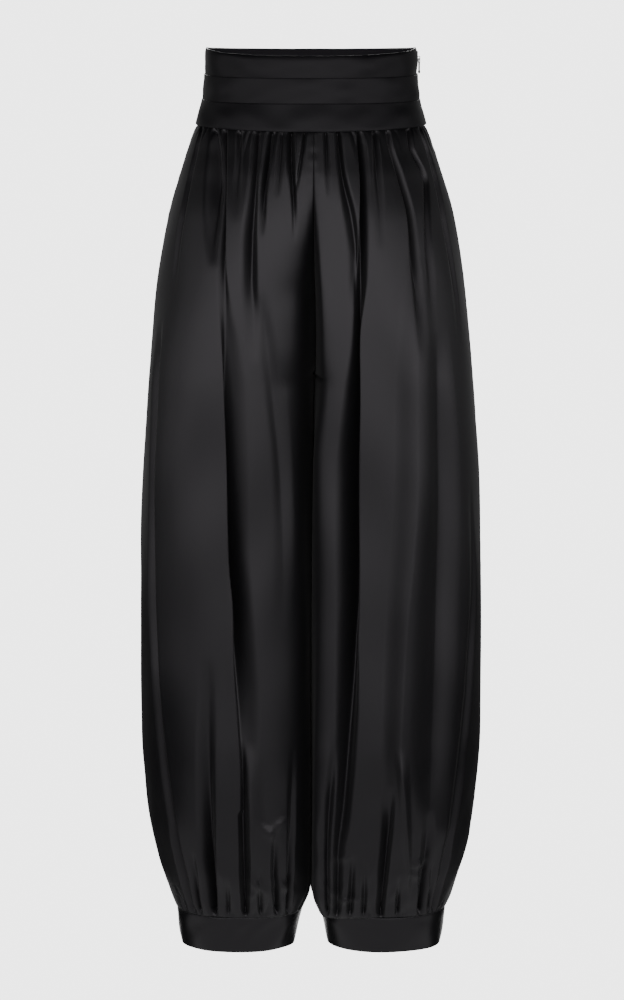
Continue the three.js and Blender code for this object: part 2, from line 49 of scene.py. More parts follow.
SEAM_LAP = 1.5  # how far the facing and a cuff reach over the end of the leg cloth sewn to them
LEG_CLOTH = 0.9
FACING_CLOTH = 1.2
TUCK_CLOTH = 1.1
CUFF_CLOTH = 2.2
WAIST_SEAM_Z = -84
LEG_TOP_Z = -84.3
LEG_BOTTOM_Z = -1020.7
CROTCH_Z = -375
HALF_WAIST_ROUND = 170
WAIST_POWER = 2.2
CUFF_POWER = 2.1
CUT_WIDTH = 420  # one panel's width before it is gathered

# The facing's outer face, as half widths to the side, the front and the back.
WAIST_OUTLINE = {
    "z": [0, -4, -28, -56, -84],
    "side": [120.4, 121.6, 121.6, 124.2, 130.2],
    "front": [89.6, 90.8, 91.6, 94, 98.5],
    "back": [89.6, 90.8, 91.6, 95, 100],
}

# One leg's outer face without its folds: distances from the centre plane to the outer seam and the inseam,
# depths to the front and back, and how square the inner and outer corners are.
LEG_OUTLINE = {
    "z": [-84.3, -94, -117, -140, -190, -260, -320, -375, -500, -650, -800, -900, -955, -990, -1020.7],
    "side": [
        130.2, 136, 144.3, 151.7, 166, 178.3, 184.8, 189.7, 197.6, 201.4, 200.7, 193.2, 182.3, 171.7, 160],
    "inner": [0, 0, 0, 0, 0, 0, 0, 0, 0, 0, 0, 0, 0, 0, 10],
    "front": [98.5, 102.8, 110.5, 117, 125.5, 131, 133.4, 134, 132.5, 131, 129, 119, 103, 86, 68],
    "back": [100, 106, 115.5, 125, 137, 145, 146.5, 146, 140, 135, 131, 121, 104, 87, 68],
    "inner_power": [2.2, 2.1, 2.15, 2.2, 2.35, 2.5, 2.65, 2.8, 2.9, 3, 3, 2.8, 2.5, 2.25, 2.1],
    "outer_power": [2.2, 2.15, 2.1, 2.1, 2.15, 2.25, 2.3, 2.3, 2.3, 2.3, 2.3, 2.25, 2.2, 2.1, 2.1],
}

CUFF_OUTLINE = {
    "z": [-1021, -1050, -1063],
    "middle": [85, 87, 87],
    "width": [75, 69.8, 67],
    "depth": [68, 63.5, 61],
}

# The long folds of each panel, from the side seam inwards. A row of a fold gives, at one height, its trough's
# distance from the centre plane, its depth, and how wide its walls are towards the side seam and the middle.
# A fold starts and ends where its depth runs out, and a negative depth is a ridge. A last figure is how far
# the cloth on the side-seam side, or if negative on the middle's side, laps over the trough.
FOLD_COLUMNS = ("z", "at", "deep", "outer", "inner", "lap")
FOLDS = {}
FOLDS["front", "right"] = [
    [(-310, 174, 0, 18, 8, 0), (-400, 178, 8, 20, 7, -5), (-535, 181, 15, 22, 7, -8),
     (-629, 180, 17, 22, 7, -8), (-724, 176, 16, 20, 7, -7), (-818, 170, 16, 16, 8, -6),
     (-902, 160, 13, 14, 8, -3), (-986, 146, 9, 10, 7, 0), (-1012, 141, 8, 8, 6, 0)],
    [(-90, 127, 5, 5, 6), (-150, 141, 6, 7, 7), (-210, 152, 3, 9, 9), (-280, 160, 0, 10, 10)],
    [(-90, 99, 9, 9, 5, -1), (-130, 99, 11, 9, 6, -3), (-187, 99, 11, 9, 6, -4), (-234, 100, 8, 9, 6, -3),
     (-285, 99, 5, 9, 9, 0), (-326, 99, 7, 8, 18, 3), (-395, 101, 12, 7, 29, 8), (-488, 100, 16, 7, 30, 10),
     (-582, 98, 22, 7, 28, 10), (-629, 94, 23, 7, 28, 10), (-676, 91, 19, 8, 29, 9),
     (-724, 87, 14, 9, 29, 7), (-771, 83, 9, 9, 26, 6), (-830, 79, 3, 8, 20, 4), (-880, 76, 0, 8, 18, 3)],
    [(-88, 112, 7, 8, 9), (-120, 112, 13, 13, 15), (-150, 112, 16, 16, 16), (-180, 112, 11, 16, 16),
     (-215, 112, 4, 14, 15), (-240, 112, 0, 12, 14)],
    [(-800, 75, 0, 5, 18), (-850, 74, -5, 5, 21), (-895, 72, -6, 5, 21), (-935, 70, -3, 5, 17),
     (-965, 68, 0, 5, 14)],
    [(-88, 83, 6, 5, 5), (-110, 83, 5, 5, 5), (-150, 84, 2, 7, 7), (-190, 85, 0, 8, 8)],
    [(-90, 62, 9, 8, 5), (-130, 64, 10, 9, 5), (-165, 66, 11, 11, 6), (-210, 68, 13, 14, 7),
     (-257, 68, 10, 14, 8), (-300, 66, 4, 13, 9), (-345, 64, 0, 12, 10)],
    [(-90, 47, 10, 7, 4), (-130, 51, 12, 8, 4), (-160, 54, 8, 8, 4), (-205, 56, 0, 7, 5)],
    [(-270, 58, 0, 10, 12), (-326, 52, 4, 12, 14), (-395, 43, 5, 14, 16), (-488, 35, 4, 14, 16),
     (-582, 33, 2, 14, 16), (-660, 33, 0, 14, 14)],
    [(-88, 35, 5, 4, 4), (-120, 37, 4, 5, 5), (-160, 40, 0, 6, 6)],
    [(-88, 26, 11, 7, 7), (-120, 25, 12, 6, 6), (-153, 23, 8, 4, 5), (-185, 22, 3, 3, 5),
     (-210, 22, 0, 3, 5)],
    [(-88, 10, 5, 3, 3), (-130, 16, 4, 3, 3), (-158, 21, 0, 3, 3)],
    [(-700, 118, 0, 14, 10), (-771, 119, 4, 16, 10), (-820, 119, 8, 17, 9), (-902, 118, 16, 18, 8),
     (-950, 117, 21, 17, 7), (-1012, 115, 16, 10, 6)],
    [(-800, 80, 0, 7, 9), (-850, 80, 6, 7, 10), (-915, 79, 11, 7, 10), (-960, 78, 16, 8, 9),
     (-1012, 77, 16, 7, 6)],
    [(-900, 42, 0, 8, 8), (-945, 42, 7, 8, 6), (-1012, 39, 13, 7, 6)],
    [(-800, 22, 0, 10, 8), (-900, 22, 5, 9, 7), (-960, 24, 8, 7, 6), (-1012, 26, 10, 6, 6)],
    [(-930, 139, 0, 6, 6), (-970, 137, 7, 6, 5), (-1012, 132, 10, 5, 5)],
    [(-950, 60, 0, 6, 6), (-985, 60, 5, 6, 6), (-1012, 59, 9, 5, 5)],
    [(-960, 98, 0, 5, 5), (-990, 98, 5, 5, 5), (-1012, 98, 8, 5, 5)],
]
FOLDS["front", "left"] = [
    [(-500, 186, 0, 10, 10), (-629, 190, 4, 12, 16), (-724, 186, 5, 12, 16), (-820, 177, 5, 12, 14),
     (-902, 166, 5, 10, 12), (-1012, 146, 7, 6, 6)],
    [(-90, 127, 6, 5, 5), (-130, 140, 6, 6, 7), (-187, 154, 5, 7, 9), (-257, 165, 3, 9, 12),
     (-340, 172, 0, 10, 12)],
    [(-90, 114, 12, 6, 6), (-107, 116, 10, 6, 6), (-150, 133, 8, 7, 5), (-210, 134, 6, 8, 6),
     (-260, 138, 2, 9, 8), (-300, 140, 0, 9, 8)],
    [(-88, 88, 6, 5, 4), (-105, 91, 6, 6, 4), (-140, 102, 9, 8, 5), (-187, 114, 11, 9, 5),
     (-234, 118, 11, 10, 6), (-280, 121, 7, 12, 7), (-340, 124, 0, 14, 8)],
    [(-310, 147, 0, 20, 22), (-372, 149, 7, 24, 26), (-488, 152, 11, 30, 29), (-600, 150, 12, 32, 32),
     (-724, 146, 11, 32, 34), (-830, 142, 7, 28, 30), (-900, 138, 0, 22, 20)],
    [(-230, 119, 0, 20, 18), (-300, 120, -7, 28, 22), (-372, 121, -11, 34, 26), (-488, 122, -14, 40, 28),
     (-582, 117, -14, 46, 28), (-650, 111, -14, 50, 26), (-724, 107, -14, 54, 25), (-820, 104, -11, 50, 23),
     (-902, 104, -6, 36, 20), (-950, 104, 0, 26, 18)],
    [(-880, 139, 0, 9, 12), (-930, 137, 8, 8, 12), (-1012, 130, 13, 6, 6)],
    [(-88, 73, 9, 6, 5), (-120, 75, 7, 7, 6), (-170, 78, 3, 9, 8), (-220, 80, 0, 9, 9)],
    [(-88, 53, 8, 9, 4, -1), (-107, 54, 13, 12, 5, -3), (-150, 55, 15, 14, 5, -5),
     (-210, 55, 14, 13, 6, -4), (-257, 56, 14, 9, 9, 0), (-326, 57, 18, 6, 14, 8), (-395, 58, 24, 7, 25, 9),
     (-488, 57, 28, 7, 32, 9), (-582, 57, 28, 8, 32, 9), (-629, 56, 27, 9, 30, 9),
     (-676, 53, 25, 11, 27, 9), (-724, 50, 22, 14, 24, 8), (-771, 46, 19, 18, 20, 8),
     (-866, 38, 14, 20, 13, 7), (-938, 31, 10, 12, 9, 0), (-1012, 31, 11, 7, 7, 0)],
    [(-88, 29, 9, 6, 5), (-130, 33, 10, 6, 6), (-187, 43, 9, 5, 9), (-240, 48, 6, 4, 9),
     (-290, 50, 0, 4, 9)],
    [(-88, 14, 6, 4, 4), (-120, 15, 4, 5, 4), (-160, 16, 0, 6, 4)],
    [(-790, 28, 0, 9, 9), (-830, 24, 4, 9, 8), (-866, 20, 8, 9, 7), (-938, 17, 9, 8, 6),
     (-1012, 18, 9, 6, 6)],
    [(-850, 94, 0, 7, 12), (-890, 92, 9, 6, 13), (-938, 88, 14, 6, 12), (-1012, 82, 14, 6, 8)],
    [(-800, 104, 0, 10, 10), (-850, 107, -6, 9, 8), (-902, 110, -6, 9, 8), (-960, 113, -4, 8, 7),
     (-1004, 114, 0, 7, 7)],
    [(-930, 49, 0, 7, 7), (-965, 48, 6, 7, 6), (-1012, 46, 11, 6, 6)],
    [(-945, 144, 0, 6, 6), (-980, 143, 6, 6, 5), (-1012, 141, 9, 5, 5)],
    [(-940, 63, 0, 6, 6), (-975, 63, 5, 6, 6), (-1012, 62, 9, 5, 5)],
    [(-960, 104, 0, 5, 5), (-990, 103, 6, 5, 5), (-1012, 102, 9, 5, 5)],
]
FOLDS["back", "right"] = [
    [(-90, 127, 6, 5, 6), (-180, 152, 5, 9, 9), (-330, 172, 4, 14, 12), (-600, 178, 7, 16, 12),
     (-860, 168, 12, 16, 8), (-1012, 146, 9, 6, 6)],
    [(-90, 114, 9, 8, 5), (-150, 126, 11, 10, 6), (-260, 140, 7, 14, 10), (-360, 146, 0, 14, 12)],
    [(-90, 99, 9, 6, 6), (-180, 110, 9, 9, 9), (-330, 123, 13, 10, 20), (-600, 122, 17, 9, 26),
     (-860, 116, 11, 12, 16), (-1012, 114, 12, 7, 6)],
    [(-90, 83, 8, 5, 6), (-150, 87, 7, 6, 8), (-230, 90, 0, 8, 9)],
    [(-90, 66, 10, 6, 6), (-150, 70, 12, 7, 9), (-260, 74, 11, 9, 13), (-400, 76, 5, 14, 16),
     (-520, 76, 0, 14, 16)],
    [(-90, 50, 9, 6, 4), (-180, 52, 8, 10, 6), (-330, 50, 10, 18, 9), (-600, 48, 15, 24, 9),
     (-860, 50, 10, 18, 10), (-1012, 56, 10, 6, 7)],
    [(-90, 33, 9, 6, 5), (-150, 34, 10, 6, 8), (-260, 33, 5, 10, 10), (-340, 32, 0, 10, 10)],
    [(-90, 16, 7, 5, 4), (-180, 17, 5, 6, 5), (-260, 17, 0, 7, 6)],
    [(-700, 96, 0, 12, 12), (-860, 96, 6, 12, 10), (-1012, 95, 10, 7, 6)],
    [(-820, 134, 0, 9, 9), (-920, 133, 8, 9, 7), (-1012, 130, 12, 6, 6)],
    [(-780, 74, 0, 10, 10), (-920, 75, 9, 9, 7), (-1012, 76, 13, 6, 6)],
    [(-800, 32, 0, 10, 10), (-920, 34, 8, 8, 8), (-1012, 38, 11, 6, 6)],
    [(-880, 18, 0, 8, 8), (-1012, 21, 8, 5, 5)],
]
FOLDS["back", "left"] = [
    [(-90, 128, 5, 5, 6), (-180, 155, 4, 9, 9), (-330, 175, 5, 14, 12), (-600, 181, 10, 16, 9),
     (-860, 172, 13, 14, 8), (-1012, 150, 8, 6, 6)],
    [(-90, 117, 9, 6, 6), (-150, 129, 11, 7, 9), (-260, 146, 8, 9, 13), (-380, 153, 0, 10, 14)],
    [(-90, 103, 9, 7, 5), (-180, 113, 7, 9, 8), (-330, 121, 5, 14, 14), (-500, 122, 0, 14, 14)],
    [(-90, 87, 10, 7, 6), (-180, 92, 12, 12, 6), (-330, 97, 15, 20, 9), (-600, 92, 15, 24, 9),
     (-860, 91, 7, 16, 12), (-1012, 97, 9, 6, 6)],
    [(-90, 71, 8, 5, 5), (-150, 72, 6, 7, 7), (-230, 72, 0, 8, 8)],
    [(-90, 54, 10, 5, 7), (-150, 55, 12, 6, 9), (-330, 57, 10, 9, 16), (-600, 52, 15, 9, 24),
     (-860, 48, 10, 12, 14), (-1012, 54, 11, 7, 6)],
    [(-90, 37, 8, 5, 6), (-180, 37, 7, 7, 8), (-280, 36, 0, 9, 9)],
    [(-90, 18, 8, 5, 5), (-150, 18, 7, 6, 5), (-240, 17, 0, 7, 5)],
    [(-640, 122, 0, 14, 12), (-780, 122, 6, 14, 11), (-900, 121, 11, 11, 8), (-1012, 119, 13, 6, 6)],
    [(-840, 136, 0, 9, 9), (-920, 136, 7, 8, 8), (-1012, 134, 11, 6, 6)],
    [(-740, 68, 0, 10, 12), (-880, 72, 9, 9, 10), (-1012, 75, 12, 6, 6)],
    [(-820, 32, 0, 9, 9), (-920, 33, 7, 8, 8), (-1012, 36, 10, 6, 6)],
    [(-880, 18, 0, 8, 8), (-1012, 21, 8, 5, 5)],
]

# Short puckers above the cuffs: the middle's distance from the centre plane, its height, how its ridge slants
# up away from the middle, half its length and width, and how high it stands.
PUCKER_COLUMNS = ("x", "z", "slant", "long", "wide", "high")
PUCKERS = {
    ("front", "right"): [
        (50, -906, 42, 14, 5, 3.6),
        (38, -898, -40, 12, 5, 3.0),
        (62, -976, 45, 14, 6, 5.0),
        (33, -978, 42, 13, 6, 4.6),
        (70, -988, -50, 9, 4, 2.4),
        (106, -955, 70, 16, 6, 2.2),
    ],
    ("front", "left"): [
        (128, -946, 12, 9, 4, 4.0),
        (122, -962, -30, 9, 4, 2.6),
        (36, -938, 18, 13, 5, 3.2),
        (27, -985, -40, 12, 5, 3.4),
        (42, -994, 8, 12, 4, 3.6),
        (98, -985, 60, 13, 5, 2.4),
        (70, -955, 75, 18, 6, 2.2),
    ],
    ("back", "right"): [(112, -950, 30, 11, 4, 2.2), (62, -975, -50, 12, 4, 2.4), (36, -955, 45, 12, 4, 2.0)],
    ("back", "left"): [(104, -965, -40, 12, 4, 2.4), (56, -950, 35, 11, 4, 2.2), (128, -975, 55, 11, 4, 2.0)],
}

# The groove that runs down the middle between the legs: how deep it is, and how wide its wall is on each leg.
GROOVE = {
    "z": [-84, -150, -200, -240, -280, -310, -340, -360, -375, -400, -1020],
    "deep": [0, 2, 12, 30, 46, 46, 33, 20, 6, 0, 0],
    "right": [4, 5, 8, 10, 12, 12, 12, 12, 12, 12, 12],
    "left": [2.2, 2.2, 2.2, 2.2, 2.4, 2.6, 2.8, 3, 3.2, 3.4, 3.4],
}

# How much squarer the inner corner of a leg's section and its outer side are on one panel.
SQUARENESS = {
    ("front", "right"): {"corner": 1.22, "side": 1.22},
    ("front", "left"): {"corner": 3.4, "side": 1.1},
    ("back", "right"): {"corner": 1.3, "side": 1},
    ("back", "left"): {"corner": 1.3, "side": 1},
}
CORNER_SQUARE_FROM_Z = -150
CORNER_SQUARE_FADE = 200
SIDE_SQUARE_FROM_Z = -250
SIDE_SQUARE_TO_Z = -860
SIDE_SQUARE_FADE = 150

# How far the front's middle leans to the wearer's left.
MIDDLE_LEAN = {
    "z": [-84, -200, -330, -430, -600, -800, -1020],
    "lean": [3, 3.5, 5.8, 3.5, 2.3, 1.5, 0],
}
LEAN_DEPTH = 50
LEAN_WIDTH = 45

# The ripple in the wall where the legs press together: its height, its lengths in depth and down, how wide it
# is across, and how far below the crotch it comes in.
PRESS = {"high": 1.3, "in_depth": 15, "down": 70, "wide": 12, "fade": 60}

# ---- sections


def carried(heights, values, z):
    """Values listed at falling heights, carried smoothly through them to the heights z."""
    at = np.asarray(heights, float)[::-1]
    value = np.asarray(values, float)[::-1]
    step = np.diff(at)
    slope = np.diff(value) / step
    both = slope[:-1] * slope[1:]
    tangent = np.zeros_like(value)
    tangent[0], tangent[-1] = slope[0], slope[-1]
    tangent[1:-1] = np.where(both > 0, 2 * both / np.where(both > 0, slope[:-1] + slope[1:], 1), 0)
    i = np.clip(np.searchsorted(at, z) - 1, 0, len(at) - 2)
    t = np.clip((z - at[i]) / step[i], 0, 1)
    rise = 3 * t**2 - 2 * t**3
    start = value[i] + step[i] * tangent[i] * (t**3 - 2 * t**2 + t)
    return start + rise * (value[i + 1] - value[i]) + step[i] * tangent[i + 1] * (t**3 - t**2)


def at_height(table, key, z):
    return float(carried(table["z"], table[key], z))


def eased(share):
    share = np.clip(share, 0, 1)
    return share * share * (3 - 2 * share)


def oval(middle, width, depth, inner_power, outer_power, angle):
    """Points of an oval with square corners and their outward directions, at angles from its outer end."""
    c, s = np.cos(angle), np.sin(angle)
    power = np.where(c >= 0, outer_power, inner_power)
    radius = ((abs(c) / width) ** power + (abs(s) / depth) ** power) ** (-1 / power)
    across = (abs(c) * radius / width) ** (power - 1) / width * np.sign(c)
    along = (abs(s) * radius / depth) ** (power - 1) / depth * np.sign(s)
    size = np.hypot(across, along)
    return np.array([middle + c * radius, s * radius, across / size, along / size])


RING_SAMPLES = 400


def half_ring(middle, width, depth, inner_power, outer_power, stop):
    """Half an oval from its outer end to the distance stop from the centre plane, and its points' places."""
    reach = np.clip((middle - stop) / width, 0, 1)
    height = depth * (1 - reach**inner_power) ** (1 / inner_power)
    angle = np.linspace(0, math.atan2(height, stop - middle), RING_SAMPLES)
    ring = oval(middle, width, depth, inner_power, outer_power, angle)
    steps = np.hypot(np.diff(ring[0]), np.diff(ring[1]))
    return ring, np.concatenate([[0], np.cumsum(steps)])


def leg_ring(z, face, side):
    """A leg's section at height z. Down to the crotch both legs share one oval, which parts along the
    rise."""
    row = {key: at_height(LEG_OUTLINE, key, z) for key in LEG_OUTLINE if key != "z"}
    rise = min(max((WAIST_SEAM_Z - z) / (WAIST_SEAM_Z - CROTCH_Z), 0), 1)
    middle = row["side"] * rise / (1 + rise) if rise < 1 else (row["side"] + row["inner"]) / 2
    at_corner = float(eased((CORNER_SQUARE_FROM_Z - z) / CORNER_SQUARE_FADE))
    squareness = 1 + (SQUARENESS[face, side]["corner"] - 1) * at_corner
    side_start = eased((SIDE_SQUARE_FROM_Z - z) / SIDE_SQUARE_FADE)
    side_end = eased((z - SIDE_SQUARE_TO_Z) / SIDE_SQUARE_FADE)
    side_squareness = 1 + (SQUARENESS[face, side]["side"] - 1) * float(side_start * side_end)
    ring, along = half_ring(
        middle,
        row["side"] - middle,
        row[face],
        row["inner_power"] * squareness,
        row["outer_power"] * side_squareness,
        row["inner"],
    )
    return ring, along, row


PARTING_FADE = 90


def parting(z, face, side):
    """How far a leg's section sinks at the centre plane to meet the other leg's, down to the crotch."""
    joined = max(z, CROTCH_Z + 1)
    ends = {key: leg_ring(joined, face, key)[0][1][-1] for key in ("right", "left")}
    return (ends[side] - min(ends.values())) * float(eased(1 - (joined - z) / PARTING_FADE))


# ---- folds

GATHER_REACH = {"waist": 8, "cuff": 15}  # how far from a gathered seam the folds reach their full depth
SEAM_GATHER = 0.06  # the share of their depth that they have at the seam
CREASE_SHARE = {"seam": 0.75, "middle": 0.35}  # how much of a trough is a sharp crease and not a soft hollow
CREASE_REACH = 130
GATHER_START = 7  # how far from its seam a short gather comes in
GATHER_CREASE = 0.8


def trough(distance, crease):
    """A fold's depth, from 1 in its trough to 0 where its wall ends at distance 1."""
    t = np.clip(abs(distance), 0, 1)
    sharp = 1 - np.sin(t * math.pi / 2)
    soft = np.cos(t * math.pi / 2) ** 2
    return crease * sharp + (1 - crease) * soft


def gather_share(z):
    from_waist = eased((WAIST_SEAM_Z - z) / GATHER_REACH["waist"])
    from_cuff = eased((z - LEG_BOTTOM_Z) / GATHER_REACH["cuff"])
    return max(SEAM_GATHER, float(min(from_waist, from_cuff)))


def crease_share(z):
    from_seam = min(WAIST_SEAM_Z - z, z - LEG_BOTTOM_Z)
    return float(np.interp(from_seam, [0, CREASE_REACH], [CREASE_SHARE["seam"], CREASE_SHARE["middle"]]))


def fold_rows(fold, z):
    """A fold's place, depth and walls at height z, or None where it doesn't reach."""
    padded = [row + (0,) * (len(FOLD_COLUMNS) - len(row)) for row in fold]
    rows = dict(zip(FOLD_COLUMNS, zip(*padded)))
    above = rows["z"][0] < z and rows["deep"][0] == 0
    below = rows["z"][-1] > z and rows["deep"][-1] == 0
    if above or below:
        return None
    return {key: at_height(rows, key, z) for key in FOLD_COLUMNS[1:]}


LAP_REACH = 16  # how far behind its edge a lap of cloth starts


def long_folds(z, face, side, ring, along, at):
    """How deep the long folds lie at the places at, measured along the section, and how far they draw the
    cloth along it where it laps over."""
    depth = np.zeros_like(at)
    draw = np.zeros_like(at)
    for fold in FOLDS[face, side]:
        row = fold_rows(fold, z)
        if row:
            away = at - np.interp(-row["at"], -ring[0], along)
            width = np.where(away < 0, row["outer"], row["inner"])
            depth += row["deep"] * trough(away / width, crease_share(z))
            behind = -away if row["lap"] > 0 else away
            wall = row["outer"] if row["lap"] > 0 else row["inner"]
            draw += row["lap"] * eased(behind / wall) * eased((wall + LAP_REACH - behind) / LAP_REACH)
    share = gather_share(z)
    return depth * share, draw * share


def uneven_waves(rng, count, wide, long, high):
    """Gentle waves that break up a smooth cloth, with lengths across and along it and heights from ranges."""
    across = 2 * math.pi / rng.uniform(*wide, count) * rng.choice([-1, 1], count)
    down = 2 * math.pi / rng.uniform(*long, count)
    height = rng.uniform(*high, count)
    start = rng.uniform(0, 2 * math.pi, count)

    def waves(u, v):
        return sum(h * np.sin(a * u + d * v + s) for a, d, h, s in zip(across, down, height, start))

    return waves


def pucker_depth(face, side, x, z):
    """Depth of the short puckers, each a ridge that rises across the cloth at its own slant."""
    depth = np.zeros_like(x)
    for pucker in PUCKERS[face, side]:
        row = dict(zip(PUCKER_COLUMNS, pucker))
        slant = math.radians(row["slant"])
        across, up = x - row["x"], z - row["z"]
        along = across * math.cos(slant) + up * math.sin(slant)
        beside = up * math.cos(slant) - across * math.sin(slant)
        depth -= row["high"] * np.exp(-((along / row["long"]) ** 2) - (beside / row["wide"]) ** 2)
    return depth


def between_legs(x, y, z):
    """How far the front's middle and the wall where the legs press together stand off the centre plane."""
    lean = at_height(MIDDLE_LEAN, "lean", z) * eased(-y / LEAN_DEPTH) * np.exp(-((x / LEAN_WIDTH) ** 2))
    wave = PRESS["high"] * np.sin(y / PRESS["in_depth"] + z / PRESS["down"])
    wave = wave * np.exp(-((x / PRESS["wide"]) ** 2))
    return lean + wave * float(eased((CROTCH_Z - z) / PRESS["fade"]))


def short_gathers(rng, count, reach, deep, wide):
    """Short gathers along a seam: places as shares of its length, how far they run, and depths and widths."""
    places = (np.arange(count) + rng.uniform(-0.35, 0.35, count) + 0.5) / count
    return {
        "place": places,
        "reach": rng.uniform(*reach, count),
        "deep": rng.uniform(*deep, count),
        "wide": rng.uniform(*wide, count),
    }


def gather_depth(gathers, away, at, total):
    """Depth of the short gathers at the distance away from their seam."""
    depth = np.zeros_like(at)
    for place, reach, deep, wide in zip(*(gathers[key] for key in ("place", "reach", "deep", "wide"))):
        fade = float(eased(away / GATHER_START) * (1 - eased(away / reach)))
        if fade > 0:
            depth += deep * fade * trough((at - place * total) / wide, GATHER_CREASE)
    return depth


# ---- meshes

JOIN_REACH = 0.02  # points closer than this are one where a sheet's ends meet


def grid_piece(name, columns, rows, place, centre, looped=False):
    """A sheet of columns by rows, each point placed by place(column, row) in millimetres. It faces away
    from the upright line through centre."""
    bm = bmesh.new()
    bmesh.ops.create_grid(bm, x_segments=columns - 1, y_segments=rows - 1, size=0.5)
    flat = np.array([v.co for v in bm.verts])
    column = np.rint((flat[:, 0] + 0.5) * (columns - 1)).astype(int)
    row = np.rint((0.5 - flat[:, 1]) * (rows - 1)).astype(int)
    placed, cloth = place(column, row)
    for vert, co in zip(bm.verts, placed * MM):
        vert.co = co
    uv = bm.loops.layers.uv.new("cloth")
    for face in bm.faces:
        for loop in face.loops:
            loop[uv].uv = cloth[loop.vert.index] * MM
    if looped:
        bmesh.ops.remove_doubles(bm, verts=bm.verts, dist=JOIN_REACH * MM)
    bm.normal_update()
    axis = Vector((centre[0] * MM, centre[1] * MM))
    outwards = sum(f.normal.xy.dot(f.calc_center_median().xy - axis) for f in bm.faces)
    if outwards < 0:
        bmesh.ops.reverse_faces(bm, faces=bm.faces)
    return finished(name, bm)


def finished(name, bm, smooth=True):
    mesh = bpy.data.meshes.new(name)
    for face in bm.faces:
        face.smooth = smooth
    bm.to_mesh(mesh)
    bm.free()
    piece = bpy.data.objects.new(name, mesh)
    bpy.context.scene.collection.objects.link(piece)
    return piece


def thicken(piece, thickness, offset=-1, bevel=0.0):
    wall = piece.modifiers.new("wall", "SOLIDIFY")
    wall.thickness = thickness * MM
    wall.offset = offset
    wall.use_even_offset = False
    if bevel:
        edge = piece.modifiers.new("edge", "BEVEL")
        edge.width = bevel * MM
        edge.segments = 3
        edge.limit_method = "ANGLE"
        edge.angle_limit = math.radians(60)
    return piece


def belongs(piece, material, nodes, body="garment"):
    piece.data.materials.append(material)
    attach(piece, body)
    if nodes:
        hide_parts(*nodes)
    return piece


# ---- legs

OUTER_COLUMNS = 212
INNER_COLUMNS = 40
LEG_ROWS = 180
INNER_START = 14  # distance from the centre plane where the columns of the inner wall start
EDGE_STEPS = np.array([0, 0.7, 1.5, 2.6, 4.0, 6.0])  # columns drawn close to a seam, for its rolled edge
SEAM_ROLL = 0.8
SEAM_ROLL_WIDTH = 1.6
SEAM_PUCKER = 0.16
SEAM_PUCKER_WIDTH = 6
SEAM_PUCKER_LENGTHS = (2.3, 3.7)
CUFF_TURN_IN = 1.6
CUFF_TURN_HEIGHT = 2.5
ROW_CROWDING = 0.62
INNER_CROWDING = 12
LEG_AXIS_X = 95  # the outward side of a leg's cloth faces away from this upright line

# Random unevenness of the cloth: how many of each, and the ranges of their measures.
WAIST_GATHERS = {"count": 10, "reach": (12, 50), "deep": (1.0, 2.4), "wide": (3.5, 6.0)}
CUFF_GATHERS = {"count": 10, "reach": (15, 60), "deep": (2.0, 5.0), "wide": (4.5, 8.0)}
LEG_WAVES = {"count": 7, "wide": (70, 170), "long": (140, 380), "high": (0.1, 0.32)}
CRUMPLE = {"count": 5, "wide": (45, 110), "long": (70, 180), "high": (0.2, 0.6)}
CRUMPLE_TOP_Z = -760
CRUMPLE_FADE = {"top": 160, "cuff": 25}
DRAW_FADE = 20  # how far from a long seam the folds draw the cloth along in full
FOLD_FADE = {"side": 12, "inner": 9}  # how far from a long seam the folds have their full depth


def row_heights(count):
    """Heights down a leg, closer together near the two gathered seams."""
    t = np.linspace(0, 1, count)
    crowded = t - ROW_CROWDING * np.sin(2 * math.pi * t) / (2 * math.pi)
    return LEG_TOP_Z + (LEG_BOTTOM_Z - LEG_TOP_Z) * crowded


def column_places(ring, along):
    """Where the columns cross a section. Both ends are crowded, and the inner wall has columns of its own."""
    turn = np.interp(-INNER_START, -ring[0], along)
    total = along[-1]
    outer = np.linspace(EDGE_STEPS[-1], turn, OUTER_COLUMNS - len(EDGE_STEPS) + 2)
    crowd = np.minimum(EDGE_STEPS, (total - turn) * EDGE_STEPS / INNER_CROWDING)
    inner = np.linspace(turn, total - crowd[-1], INNER_COLUMNS - len(EDGE_STEPS) + 1)
    return np.concatenate([EDGE_STEPS[:-1], outer[:-1], inner, total - crowd[-2::-1]])


def seam_depth(at, total, z):
    """The cloth rolls in and puckers along a panel's long seams, and turns in at the cuff."""
    from_edge = np.minimum(at, total - at)
    roll = SEAM_ROLL * np.exp(-((from_edge / SEAM_ROLL_WIDTH) ** 2))
    ripple = sum(math.sin(z / length) for length in SEAM_PUCKER_LENGTHS)
    pucker = SEAM_PUCKER * ripple * np.exp(-((from_edge / SEAM_PUCKER_WIDTH) ** 2))
    turned_in = CUFF_TURN_IN * math.exp(-(((z - LEG_BOTTOM_Z) / CUFF_TURN_HEIGHT) ** 2))
    return roll + pucker + turned_in


